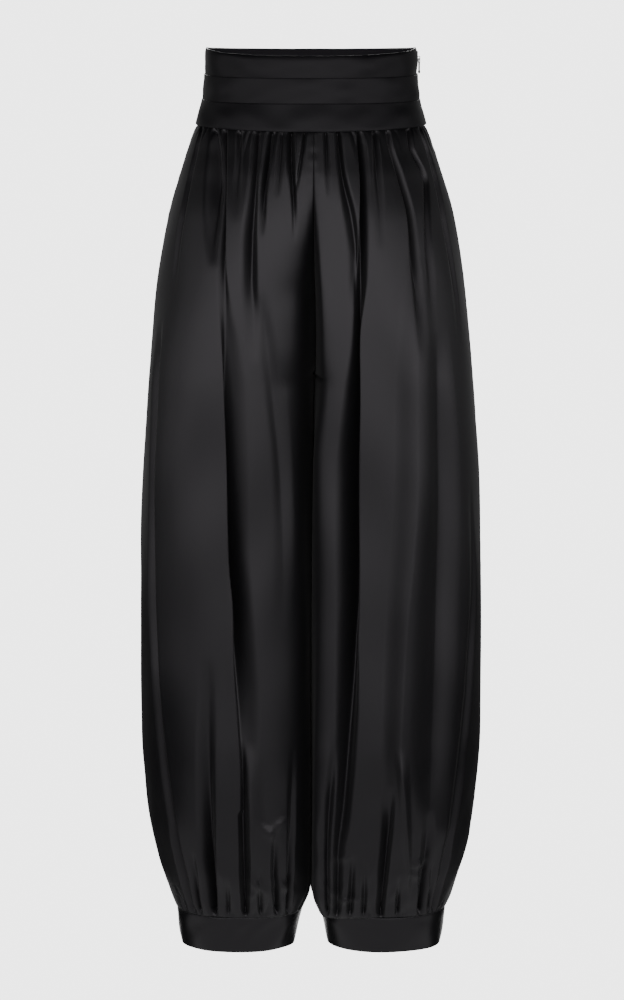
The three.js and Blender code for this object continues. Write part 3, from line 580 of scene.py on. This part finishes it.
def leg_cloth(face, side, rng):
    """A function that gives a leg panel's points at one height, at places measured along its section."""
    waist_gathers = short_gathers(rng, **WAIST_GATHERS)
    cuff_gathers = short_gathers(rng, **CUFF_GATHERS)
    waves = uneven_waves(rng, **LEG_WAVES)
    crumple = uneven_waves(rng, **CRUMPLE)

    def points(z, places=None, further_in=0.0):
        ring, along, row = leg_ring(z, face, side)
        total = along[-1]
        at = column_places(ring, along) if places is None else places
        depth, draw = long_folds(z, face, side, ring, along, at)
        draw *= eased(at / DRAW_FADE) * eased((total - at) / DRAW_FADE)
        px, py, nx, ny = (np.interp(at + draw, along, part) for part in ring)
        depth += gather_depth(waist_gathers, WAIST_SEAM_Z - z, at, total)
        depth += gather_depth(cuff_gathers, z - LEG_BOTTOM_Z, at, total)
        depth += waves(at, z) * gather_share(z)
        crumpled = eased((CRUMPLE_TOP_Z - z) / CRUMPLE_FADE["top"])
        crumpled *= eased((z - LEG_BOTTOM_Z) / CRUMPLE_FADE["cuff"])
        depth += crumple(at, z) * float(crumpled)
        depth += pucker_depth(face, side, px, z)
        depth *= eased(at / FOLD_FADE["side"]) * eased((px - row["inner"]) / FOLD_FADE["inner"])
        depth += seam_depth(at, total, z) + further_in
        at_inseam = np.exp(-(((total - at) / SEAM_ROLL_WIDTH) ** 2))
        x = row["inner"] + np.maximum(px - depth * nx - row["inner"], 0) * (1 - at_inseam)
        low = at_height(GROOVE, "deep", z) + parting(z, face, side)
        low = low * np.exp(-px / at_height(GROOVE, side, z))
        y = AHEAD[face] * np.maximum(py - depth * ny - low, 0)
        spots = np.stack([HAND[side] * x + between_legs(x, y, z), y, np.full(len(at), z)], 1)
        return spots, at / total * CUT_WIDTH

    return points


def leg_panel(face, side, cloth):
    heights = row_heights(LEG_ROWS)
    columns = OUTER_COLUMNS + INNER_COLUMNS
    rows = [cloth(z) for z in heights]
    spots, u = (np.array(part) for part in zip(*rows))

    def place(column, line):
        return spots[line, column], np.stack([u[line, column], heights[line]], 1)

    name = f"leg_{face}_{side}"
    piece = grid_piece(f"cloth_{name}", columns, LEG_ROWS, place, (HAND[side] * LEG_AXIS_X, 0))
    thicken(piece, LEG_CLOTH)
    return belongs(piece, leg_satin, [name])


# ---- waistband

WAIST_COLUMNS = 121
TUCK_ROWS = 17

# Each tuck lies on the facing. By height: the gap to the facing's outer face, and the dip in the middle.
TUCKS = {
    "top": {"z": [0, -4, -20, -32], "gap": [0.3, 0.3, 0.1, 0.1], "dip": [0, 0, 0, 0]},
    "middle": {"z": [-28, -32, -50, -61], "gap": [1.8, 1.8, 0.9, 0.3], "dip": [-1, -1, -1, -1]},
    "bottom": {"z": [-57, -61, -75, -86], "gap": [1.8, 1.8, 2.4, 3.2], "dip": [-1, -1, 0, 2]},
}
TUCK_WAVES = {"top": (0.18, 0.42), "middle": (0.18, 0.42), "bottom": (0.12, 0.34)}
TUCK_CUT = {"top": (345, 33), "middle": (350, 33), "bottom": (362, 29)}
RIM_RISE = 2.8  # how far the rim stands up at the two side seams
RIM_DIP = {"front": 4.8, "back": 7.4}  # how far it sinks from there to the middle of each side
RIM_DIP_ENDS_Z = -24
TUCK_FULLNESS = 0.9  # how far a tuck swells halfway up
TUCK_END_FADE = 0.06
TUCK_WAVE_SIZES = {"count": 7, "wide": (38, 110), "long": (40, 120)}
TUCK_BEVEL = 0.45
FACING_BEVEL = 0.4
FACING_Z = [-0.8, -4, -13, -15, -28, -42, -56, -70, WAIST_SEAM_Z - SEAM_LAP]
ZIP_MOUTH = 0.9
ZIP_MOUTH_Z = -13
SEAM_CLOSED_Z = -15


def waist_arc(z, face, gap, turn, swell):
    """Points round the waist at turns from -1, the wearer's right seam, to 1, the left one, each moved out by
    swell from the section that lies gap outside the facing."""
    side, depth = (at_height(WAIST_OUTLINE, key, z) + gap for key in ("side", face))
    ring, along = half_ring(0, side, depth, WAIST_POWER, WAIST_POWER, 0)
    at = (1 - abs(turn)) * along[-1]
    px, py, nx, ny = (np.interp(at, along, part) for part in ring)
    edge = np.where(turn > 0, np.interp(z, [SEAM_CLOSED_Z, ZIP_MOUTH_Z], [0, ZIP_MOUTH]), 0)
    return np.sign(turn) * (px + swell * nx), np.maximum(py + swell * ny, edge)


def waist_strip(name, face, heights, gaps, dips, swells, thickness, bevel):
    turn = np.linspace(-1, 1, WAIST_COLUMNS)
    spots = np.zeros((len(heights), WAIST_COLUMNS, 3))
    for i, (z, gap, dip, swell) in enumerate(zip(heights, gaps, dips, swells)):
        px, py = waist_arc(z, face, gap, turn, swell)
        from_rim = float(eased(1 - z / RIM_DIP_ENDS_Z))
        sunk = dip * np.cos(turn * math.pi / 2) ** 2
        sunk += (RIM_DIP[face] * py / py.max() - RIM_RISE) * from_rim
        spots[i] = np.stack([px, AHEAD[face] * py, z - sunk], 1)

    def place(column, line):
        return spots[line, column], np.stack([turn[column] * HALF_WAIST_ROUND, spots[line, column, 2]], 1)

    piece = grid_piece(name, WAIST_COLUMNS, len(heights), place, (0, 0))
    return thicken(piece, thickness, offset=1, bevel=bevel)


def tuck(tier, face, rng):
    rows = TUCKS[tier]
    heights = np.linspace(rows["z"][0], rows["z"][-1], TUCK_ROWS)
    gaps = carried(rows["z"], rows["gap"], heights)
    dips = carried(rows["z"], rows["dip"], heights)
    turn = np.linspace(-1, 1, WAIST_COLUMNS)
    waves = uneven_waves(rng, **TUCK_WAVE_SIZES, high=TUCK_WAVES[tier])
    free = eased((1 - abs(turn)) / TUCK_END_FADE) * np.sin(np.linspace(0, math.pi, TUCK_ROWS))[:, None]
    swells = free * (TUCK_FULLNESS + waves(turn * HALF_WAIST_ROUND, heights[:, None]))
    name = f"waist_tuck_{tier}_{face}"
    piece = waist_strip(f"cloth_{name}", face, heights, gaps, dips, swells, TUCK_CLOTH, TUCK_BEVEL)
    return belongs(piece, band_satin, [name])


def facing(face):
    still = np.zeros(len(FACING_Z))
    gaps = still - FACING_CLOTH
    name = f"waist_facing_{face}"
    piece = waist_strip(f"cloth_{name}", face, FACING_Z, gaps, still, still, FACING_CLOTH, FACING_BEVEL)
    # The facing's satin is painted lighter, as painted light on the inside of the band.
    return belongs(piece, facing_satin_painted_light, [name])


# ---- cuffs

CUFF_COLUMNS = 161
CUFF_ROWS = 15
CUFF_RADIUS = 72
CUFF_BEVEL = 0.6

# Waves round a cuff: how many at once, and the ranges of their count in one round, heights, starts and
# slants. At the seam and at the cuff's sides they have only a share of their height.
CUFF_DENTS = {"count": 8, "waves": (3, 10), "high": (0.25, 0.7), "start": (0, 6.3), "slant": (-0.15, 0.15)}
DENT_SHARE = {"seam": 0.25, "side": 0.3}
DENT_SEAM_FADE = 12


def cuff_dents(rng):
    dents = []
    for _ in range(CUFF_DENTS["count"]):
        waves = rng.integers(*CUFF_DENTS["waves"])
        dents.append((waves, *(rng.uniform(*CUFF_DENTS[key]) for key in ("high", "start", "slant"))))
    return dents


def cuff(side, rng):
    heights = np.linspace(CUFF_OUTLINE["z"][0] + SEAM_LAP, CUFF_OUTLINE["z"][-1], CUFF_ROWS)
    angle = np.linspace(0, 2 * math.pi, CUFF_COLUMNS)
    spots = np.zeros((CUFF_ROWS, CUFF_COLUMNS, 3))
    dents = cuff_dents(rng)
    for i, z in enumerate(heights):
        middle, width, depth = (at_height(CUFF_OUTLINE, key, z) for key in ("middle", "width", "depth"))
        dent = sum(high * np.sin(count * angle + start + slant * z) for count, high, start, slant in dents)
        free = eased((heights[0] - z) / DENT_SEAM_FADE)
        dent *= DENT_SHARE["seam"] + (1 - DENT_SHARE["seam"]) * free
        dent *= DENT_SHARE["side"] + (1 - DENT_SHARE["side"]) * abs(np.sin(angle))
        ring = oval(0, width, depth, CUFF_POWER, CUFF_POWER, angle)
        px = HAND[side] * middle + ring[0] - dent * ring[2]
        spots[i] = np.stack([px, ring[1] - dent * ring[3], np.full(CUFF_COLUMNS, z)], 1)

    def place(column, line):
        return spots[line, column], np.stack([angle[column] * CUFF_RADIUS, heights[line]], 1)

    name = f"cuff_{side}"
    centre = (HAND[side] * CUFF_OUTLINE["middle"][-1], 0)
    piece = grid_piece(f"cloth_{name}", CUFF_COLUMNS, CUFF_ROWS, place, centre, looped=True)
    thicken(piece, CUFF_CLOTH, bevel=CUFF_BEVEL)
    return belongs(piece, cuff_satin, [name])


# ---- side zip

ZIP_END_Z = -190
TAPE_TOP_Z = -2
TAPE_WIDTH = 9
TAPE_START = 0.3
TAPE_CLOTH = 0.5
TAPE_COLUMNS = 9
TAPE_ROWS = 96
TAPE_INSIDE = {"waist": 1.4, "leg": 1.1}  # from the outer face of the cloth that the tape is sewn to
COIL_TOP_Z = -13
COIL_PITCH = 1.3
COIL_STEPS = 10  # steps in one turn
COIL_HALF_WIDTH = 1.75
COIL_FLATTENED = 0.45
COIL_WIRE = 0.28
COIL_INSIDE = 4.4  # from the outer face of the cloth to the coil's middle
METAL_BEVEL = 0.22
METAL_FLAT_DEG = 3  # faces closer in turn than this are merged
METAL_SHARP_DEG = 30  # edges sharper than this are rounded
TAB_AXIS = (125.3, 0)
TAB_SLACK = 0.5  # how far out it hangs in its loose hole
TAB_TURN = math.radians(33)  # how far it is turned towards the front


def zip_tape(face):
    places = np.linspace(TAPE_START, TAPE_WIDTH, TAPE_COLUMNS)
    heights = np.linspace(TAPE_TOP_Z, ZIP_END_Z, TAPE_ROWS)
    spots = np.zeros((TAPE_ROWS, TAPE_COLUMNS, 3))
    for i, z in enumerate(heights):
        if z > LEG_TOP_Z:
            px, py = waist_arc(z, face, -TAPE_INSIDE["waist"], 1 - places / HALF_WAIST_ROUND, 0)
            spots[i] = np.stack([px, AHEAD[face] * py, np.full(TAPE_COLUMNS, z)], 1)
        else:
            spots[i] = leg_cloths[face, "left"](z, places, TAPE_INSIDE["leg"])[0]

    def place(column, line):
        return spots[line, column], np.stack([places[column], heights[line]], 1)

    name = f"zip_tape_{face}"
    piece = grid_piece(f"woven_{name}", TAPE_COLUMNS, TAPE_ROWS, place, (0, 0))
    thicken(piece, TAPE_CLOTH)
    return belongs(piece, zip_tape_weave, [name])


def zip_coil():
    """The two closed rows of loops, as one flattened coil that follows the side seam."""
    turns = round((COIL_TOP_Z - ZIP_END_Z) / COIL_PITCH)
    bm = bmesh.new()
    wire = bmesh.ops.create_circle(bm, cap_ends=True, segments=6, radius=COIL_WIRE * MM)
    bmesh.ops.rotate(bm, verts=wire["verts"], cent=(0, 0, 0), matrix=Matrix.Rotation(math.pi / 2, 3, "X"))
    bmesh.ops.translate(bm, verts=wire["verts"], vec=(COIL_HALF_WIDTH * MM, 0, COIL_TOP_Z * MM))
    bmesh.ops.spin(
        bm,
        geom=bm.verts[:] + bm.edges[:] + bm.faces[:],
        cent=(0, 0, 0),
        axis=(0, 0, 1),
        dvec=(0, 0, -COIL_PITCH / COIL_STEPS * MM),
        angle=2 * math.pi * turns,
        steps=COIL_STEPS * turns,
        use_duplicate=False,
    )
    for vert in bm.verts:
        z = vert.co.z / MM
        outline = WAIST_OUTLINE if z > WAIST_SEAM_Z else LEG_OUTLINE
        seam = at_height(outline, "side", z)
        vert.co = ((seam - COIL_INSIDE) * MM + vert.co.x * COIL_FLATTENED, vert.co.y, vert.co.z)
    bmesh.ops.recalc_face_normals(bm, faces=bm.faces)
    return belongs(finished("nylon_zip_coil", bm), zip_nylon, ["zip_coil"])


def cast_metal(name, node, body, turn=0.0):
    """A cast zip part with the rounded edges of the mould. The pull tab is turned as it hangs."""
    bm = bmesh.new()
    bm.from_mesh(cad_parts[node].data)
    bmesh.ops.remove_doubles(bm, verts=bm.verts, dist=0.005 * MM)
    bmesh.ops.dissolve_limit(bm, angle_limit=math.radians(METAL_FLAT_DEG), verts=bm.verts, edges=bm.edges)
    sharp_angle = math.radians(METAL_SHARP_DEG)
    sharp = [edge for edge in bm.edges if edge.is_manifold and edge.calc_face_angle() > sharp_angle]
    bmesh.ops.bevel(
        bm, geom=sharp, offset=METAL_BEVEL * MM, affect="EDGES", segments=2, profile=0.5, material=-1,
        clamp_overlap=True)
    if turn:
        axis = (TAB_AXIS[0] * MM, TAB_AXIS[1] * MM, 0)
        bmesh.ops.rotate(bm, verts=bm.verts, cent=axis, matrix=Matrix.Rotation(turn, 3, "Z"))
        bmesh.ops.translate(bm, verts=bm.verts, vec=(TAB_SLACK * MM, 0, 0))
    return belongs(finished(name, bm, smooth=False), zip_metal, [node], body)


# ---- materials


def srgb(hex_colour):
    """A hex colour as linear red, green, blue and alpha."""
    parts = [int(hex_colour[i : i + 2], 16) / 255 for i in (1, 3, 5)]
    return [p / 12.92 if p <= 0.04045 else ((p + 0.055) / 1.055) ** 2.4 for p in parts] + [1.0]


def add(tree, kind, settings=None, inputs=None):
    """A shader node with its settings, and each input given a value or joined to an output."""
    node = tree.nodes.new(kind)
    for key, value in (settings or {}).items():
        setattr(node, key, value)
    for key, value in (inputs or {}).items():
        if isinstance(value, bpy.types.NodeSocket):
            tree.links.new(value, node.inputs[key])
        else:
            node.inputs[key].default_value = value
    return node


def new_material(name):
    material = bpy.data.materials.new(name)
    material.use_nodes = True
    material.node_tree.nodes.clear()
    return material, material.node_tree


def noise(tree, vector, scale, detail):
    return add(tree, "ShaderNodeTexNoise", inputs={"Vector": vector, "Scale": scale, "Detail": detail})


def surfaced(material, socket):
    add(material.node_tree, "ShaderNodeOutputMaterial", inputs={"Surface": socket})
    return material


def satin(name, colours, roughness, anisotropy, ior=1.5):
    """Polyester filament satin. Long floats of smooth warp thread give a dark, even face whose soft sheen
    spreads across the threads. The threads lie about 0.12 mm apart, so the floats are drawn coarser, 1.4 mm
    wide and 25 mm long, and the weave 0.5 mm, to show at all."""
    material, tree = new_material(name)
    cloth = add(tree, "ShaderNodeUVMap", {"uv_map": "cloth"})
    floats_at = add(tree, "ShaderNodeMapping", inputs={"Vector": cloth.outputs["UV"], "Scale": (700, 40, 1)})
    floats = noise(tree, floats_at.outputs["Vector"], 1.0, 3.0)
    weave_at = add(tree, "ShaderNodeMapping", inputs={"Vector": cloth.outputs["UV"], "Scale": (2000, 600, 1)})
    weave = noise(tree, weave_at.outputs["Vector"], 1.0, 1.0)
    shade = add(tree, "ShaderNodeMix", {"data_type": "RGBA"}, {
        "Factor": floats.outputs["Fac"], "A": srgb(colours[0]), "B": srgb(colours[1])})
    rough = add(tree, "ShaderNodeMapRange", inputs={
        "Value": floats.outputs["Fac"], "To Min": roughness - 0.04, "To Max": roughness + 0.04})
    float_bump = add(tree, "ShaderNodeBump", inputs={
        "Height": floats.outputs["Fac"], "Strength": 0.12, "Distance": 0.0002})
    weave_bump = add(tree, "ShaderNodeBump", inputs={
        "Height": weave.outputs["Fac"], "Strength": 0.1, "Distance": 0.0001,
        "Normal": float_bump.outputs["Normal"]})
    thread = add(tree, "ShaderNodeTangent", {"direction_type": "UV_MAP", "uv_map": "cloth"})
    shader = add(tree, "ShaderNodeBsdfPrincipled", inputs={
        "Base Color": shade.outputs["Result"],
        "Roughness": rough.outputs["Result"],
        "IOR": ior,
        "Specular Tint": srgb("#fbf5fc"),
        "Anisotropic": anisotropy,
        "Tangent": thread.outputs["Tangent"],
        "Sheen Weight": 0.05,
        "Sheen Roughness": 0.4,
        "Normal": weave_bump.outputs["Normal"],
    })
    return surfaced(material, shader.outputs["BSDF"])


def woven_tape():
    """Woven polyester tape, dyed black. Spun yarn in 0.6 mm ribs gives a flat matt face with fine lines
    along it."""
    material, tree = new_material("woven_polyester_tape")
    cloth = add(tree, "ShaderNodeUVMap", {"uv_map": "cloth"})
    # A band pattern repeats every 0.314 / scale metres.
    ribs = add(tree, "ShaderNodeTexWave", {"bands_direction": "X"}, {
        "Vector": cloth.outputs["UV"], "Scale": 0.314 / 0.0006, "Distortion": 0.4})
    picks = add(tree, "ShaderNodeTexWave", {"bands_direction": "Y"}, {
        "Vector": cloth.outputs["UV"], "Scale": 0.314 / 0.0005, "Distortion": 0.4})
    crossing = add(tree, "ShaderNodeMath", {"operation": "MULTIPLY"}, {
        0: ribs.outputs["Fac"], 1: picks.outputs["Fac"]})
    shade = add(tree, "ShaderNodeMix", {"data_type": "RGBA"}, {
        "Factor": crossing.outputs["Value"], "A": srgb("#08080a"), "B": srgb("#171719")})
    bump = add(tree, "ShaderNodeBump", inputs={
        "Height": crossing.outputs["Value"], "Strength": 0.5, "Distance": 0.0001})
    shader = add(tree, "ShaderNodeBsdfPrincipled", inputs={
        "Base Color": shade.outputs["Result"], "Roughness": 0.85, "Sheen Weight": 0.1,
        "Normal": bump.outputs["Normal"]})
    return surfaced(material, shader.outputs["BSDF"])


def nylon_filament():
    """Drawn nylon filament, dyed black. It is smooth, with a small soft highlight on each loop."""
    material, tree = new_material("nylon_filament")
    where = add(tree, "ShaderNodeTexCoord")
    draw_marks = noise(tree, where.outputs["Object"], 1 / 0.002, 2.0)
    rough = add(tree, "ShaderNodeMapRange", inputs={
        "Value": draw_marks.outputs["Fac"], "To Min": 0.28, "To Max": 0.42})
    shader = add(tree, "ShaderNodeBsdfPrincipled", inputs={
        "Base Color": srgb("#101012"), "Roughness": rough.outputs["Result"], "IOR": 1.53})
    return surfaced(material, shader.outputs["BSDF"])


def gunmetal_plating():
    """Die-cast zinc alloy, tumbled and plated in gunmetal. The plating is dark and bright, and clouded by the
    tumbling marks, which are about 1 mm across."""
    material, tree = new_material("gunmetal_plated_zinc")
    where = add(tree, "ShaderNodeTexCoord")
    marks = noise(tree, where.outputs["Object"], 1 / 0.001, 3.0)
    shade = add(tree, "ShaderNodeMix", {"data_type": "RGBA"}, {
        "Factor": marks.outputs["Fac"], "A": srgb("#5d5c60"), "B": srgb("#858488")})
    rough = add(tree, "ShaderNodeMapRange", inputs={
        "Value": marks.outputs["Fac"], "To Min": 0.2, "To Max": 0.36})
    bump = add(tree, "ShaderNodeBump", inputs={
        "Height": marks.outputs["Fac"], "Strength": 0.15, "Distance": 0.00005})
    shader = add(tree, "ShaderNodeBsdfPrincipled", inputs={
        "Base Color": shade.outputs["Result"], "Metallic": 1.0, "Roughness": rough.outputs["Result"],
        "Normal": bump.outputs["Normal"]})
    return surfaced(material, shader.outputs["BSDF"])


def black_felt():
    """Black wool felt, which swallows nearly all the light that falls on it."""
    material, tree = new_material("black_felt")
    shader = add(tree, "ShaderNodeBsdfPrincipled", inputs={"Base Color": srgb("#040404"), "Roughness": 1.0})
    return surfaced(material, shader.outputs["BSDF"])


# The same satin throughout. Pressing flattens the floats of the band, which dulls it. The facing's satin is
# painted
# lighter: painted light on the inside of the band, which the lights here leave in shade.
leg_satin = satin("black_polyester_satin", ("#0a0a0c", "#0f0f11"), 0.42, 0.5)
band_satin = satin("pressed_black_satin", ("#0d0d0f", "#121114"), 0.42, 0.2, ior=1.31)
cuff_satin = satin("folded_black_satin", ("#0a0a0c", "#0f0f11"), 0.3, 0.3)
facing_satin_painted_light = satin("black_satin_painted_light", ("#2b292e", "#333136"), 0.6, 0.2, ior=1.4)
zip_tape_weave = woven_tape()
zip_nylon = nylon_filament()
zip_metal = gunmetal_plating()

# ---- the trousers

rng = np.random.default_rng(7)
leg_cloths = {}
for leg_face in ("front", "back"):
    for leg_side in ("right", "left"):
        leg_cloths[leg_face, leg_side] = leg_cloth(leg_face, leg_side, rng)
        panel = leg_panel(leg_face, leg_side, leg_cloths[leg_face, leg_side])
        [zip_tape(leg_face)] if leg_side == "left" else []
for band_face in ("front", "back"):
    band_facing = facing(band_face)
    for band_tier, cut in TUCK_CUT.items():
        band_tuck = tuck(band_tier, band_face, rng)
for cuff_side in ("right", "left"):
    cuff(cuff_side, rng)
zip_coil()
cast_metal("zip_slider_body", "zip_slider", "garment")
cast_metal("zip_pull_tab", "zip_pull", "pull_tab", TAB_TURN)

# ---- studio

FLOOR_Z = -1.135
FLOOR_SIZE = 60
CAMERA = {"x": 0.0012, "y": -5.6, "z": 0.345, "aim_z": -0.53, "focal_px": 4804.85, "frame_height_px": 1000}
SENSOR_HEIGHT = 36
TENT_RADIUS = 11
TENT_HEIGHT = 16

WALL_RADIUS = 3.6
WALL_MIDDLE_Z = 0.0
WALL_HEIGHT = 2.2
WALL_RADIANCE = [1.8, 1.5, 0.78, 0.14, 0.3, 0.3, 0.14, 0.78, 1.5]  # from the front round to the wearer's left
CARD_LIFT = 0.004
# White cards on the floor: how bright and wide each is, and its two ends along Y.
BOUNCES = {
    "front": {"radiance": 0.5, "width": 1.2, "near": -3.6, "far": 0.0},
    "back": {"radiance": 1.2, "width": 0.6, "near": 0.2, "far": 1.6},
}
# High lights in front and behind. The rear one is too high to show as a glow along the sides from the front.
TOP_LIGHTS = {
    "front": {"place": (0, -3.1, 1.95), "aim": (0, 0, -0.2), "size": (1.7, 1.1), "radiance": 1.1},
    "back": {"place": (0, 3.4, 1.4), "aim": (0, 0, -0.5), "size": (2.4, 2.1), "radiance": 8.0},
}
BACKGROUND_RADIANCE = 4.0
BACKGROUND_COLOUR = "#f6f6f6"


def camera():
    data = bpy.data.cameras.new("camera")
    data.sensor_fit = "VERTICAL"
    data.sensor_height = SENSOR_HEIGHT
    data.lens = SENSOR_HEIGHT * CAMERA["focal_px"] / CAMERA["frame_height_px"]
    data.clip_end = 200
    eye = bpy.data.objects.new("camera", data)
    eye.location = (CAMERA["x"], CAMERA["y"], CAMERA["z"])
    tilt = math.atan2(CAMERA["z"] - CAMERA["aim_z"], -CAMERA["y"])
    eye.rotation_euler = (math.pi / 2 - tilt, 0, 0)
    bpy.context.scene.collection.objects.link(eye)
    bpy.context.scene.camera = eye


def softbox(name, place, aim, size, radiance):
    """A rectangular light at place that faces aim, as bright as radiance wherever it is seen from."""
    data = bpy.data.lights.new(name, "AREA")
    data.shape = "RECTANGLE"
    data.size, data.size_y = size
    data.energy = radiance * math.pi * size[0] * size[1]
    box = bpy.data.objects.new(name, data)
    box.location = place
    box.rotation_euler = (Vector(aim) - Vector(place)).to_track_quat("-Z", "Y").to_euler()
    box.visible_camera = False
    bpy.context.scene.collection.objects.link(box)
    return box


def light_wall():
    """Tall softboxes side by side in a ring round the set, brightest in front."""
    width = 2 * WALL_RADIUS * math.tan(math.pi / len(WALL_RADIANCE))
    for i, radiance in enumerate(WALL_RADIANCE):
        turn = 2 * math.pi * i / len(WALL_RADIANCE)
        place = (WALL_RADIUS * math.sin(turn), -WALL_RADIUS * math.cos(turn), WALL_MIDDLE_Z)
        softbox(f"light_wall_{i}", place, (0, 0, WALL_MIDDLE_Z), (width, WALL_HEIGHT), radiance)


def flags():
    """A dark tent round the set, which the camera looks through. Only the lights inside it reach the
    cloth."""
    bm = bmesh.new()
    bmesh.ops.create_cone(
        bm, cap_ends=True, segments=48, radius1=TENT_RADIUS, radius2=TENT_RADIUS, depth=TENT_HEIGHT)
    bmesh.ops.reverse_faces(bm, faces=bm.faces)
    piece = finished("black_flags", bm, smooth=False)
    piece.data.materials.append(black_felt())
    piece.visible_camera = False


def flat_glow(name, bm, material_name, colour, radiance):
    """A flat piece that glows evenly, whatever light falls on it."""
    piece = finished(name, bm, smooth=False)
    material, tree = new_material(material_name)
    glow = add(tree, "ShaderNodeEmission", inputs={"Color": srgb(colour), "Strength": radiance})
    piece.data.materials.append(surfaced(material, glow.outputs["Emission"]))
    return piece


def floor_bounce(face):
    """A white card on the floor, which lights the cloth from below."""
    card = BOUNCES[face]
    bm = bmesh.new()
    bmesh.ops.create_grid(bm, x_segments=1, y_segments=1, size=0.5)
    bmesh.ops.scale(bm, verts=bm.verts, vec=(card["width"], card["far"] - card["near"], 1))
    middle = (card["near"] + card["far"]) / 2
    bmesh.ops.translate(bm, verts=bm.verts, vec=(0, middle, FLOOR_Z + CARD_LIFT))
    piece = flat_glow(f"floor_bounce_{face}", bm, "white_card", "#ffffff", card["radiance"])
    piece.visible_camera = False


def floor():
    bm = bmesh.new()
    bmesh.ops.create_grid(bm, x_segments=1, y_segments=1, size=FLOOR_SIZE)
    bmesh.ops.translate(bm, verts=bm.verts, vec=(0, 0, FLOOR_Z))
    piece = flat_glow("floor", bm, "pale_floor", BACKGROUND_COLOUR, BACKGROUND_RADIANCE)
    piece.visible_glossy = False
    piece.visible_diffuse = False


camera()
floor()
flags()
light_wall()
for light_face, light in TOP_LIGHTS.items():
    softbox(f"top_light_{light_face}", *(light[key] for key in ("place", "aim", "size", "radiance")))
for card_face in BOUNCES:
    floor_bounce(card_face)
world = bpy.data.worlds.new("studio")
world.use_nodes = True
background = world.node_tree.nodes["Background"]
background.inputs["Color"].default_value = srgb(BACKGROUND_COLOUR)
background.inputs["Strength"].default_value = BACKGROUND_RADIANCE
bpy.context.scene.world = world
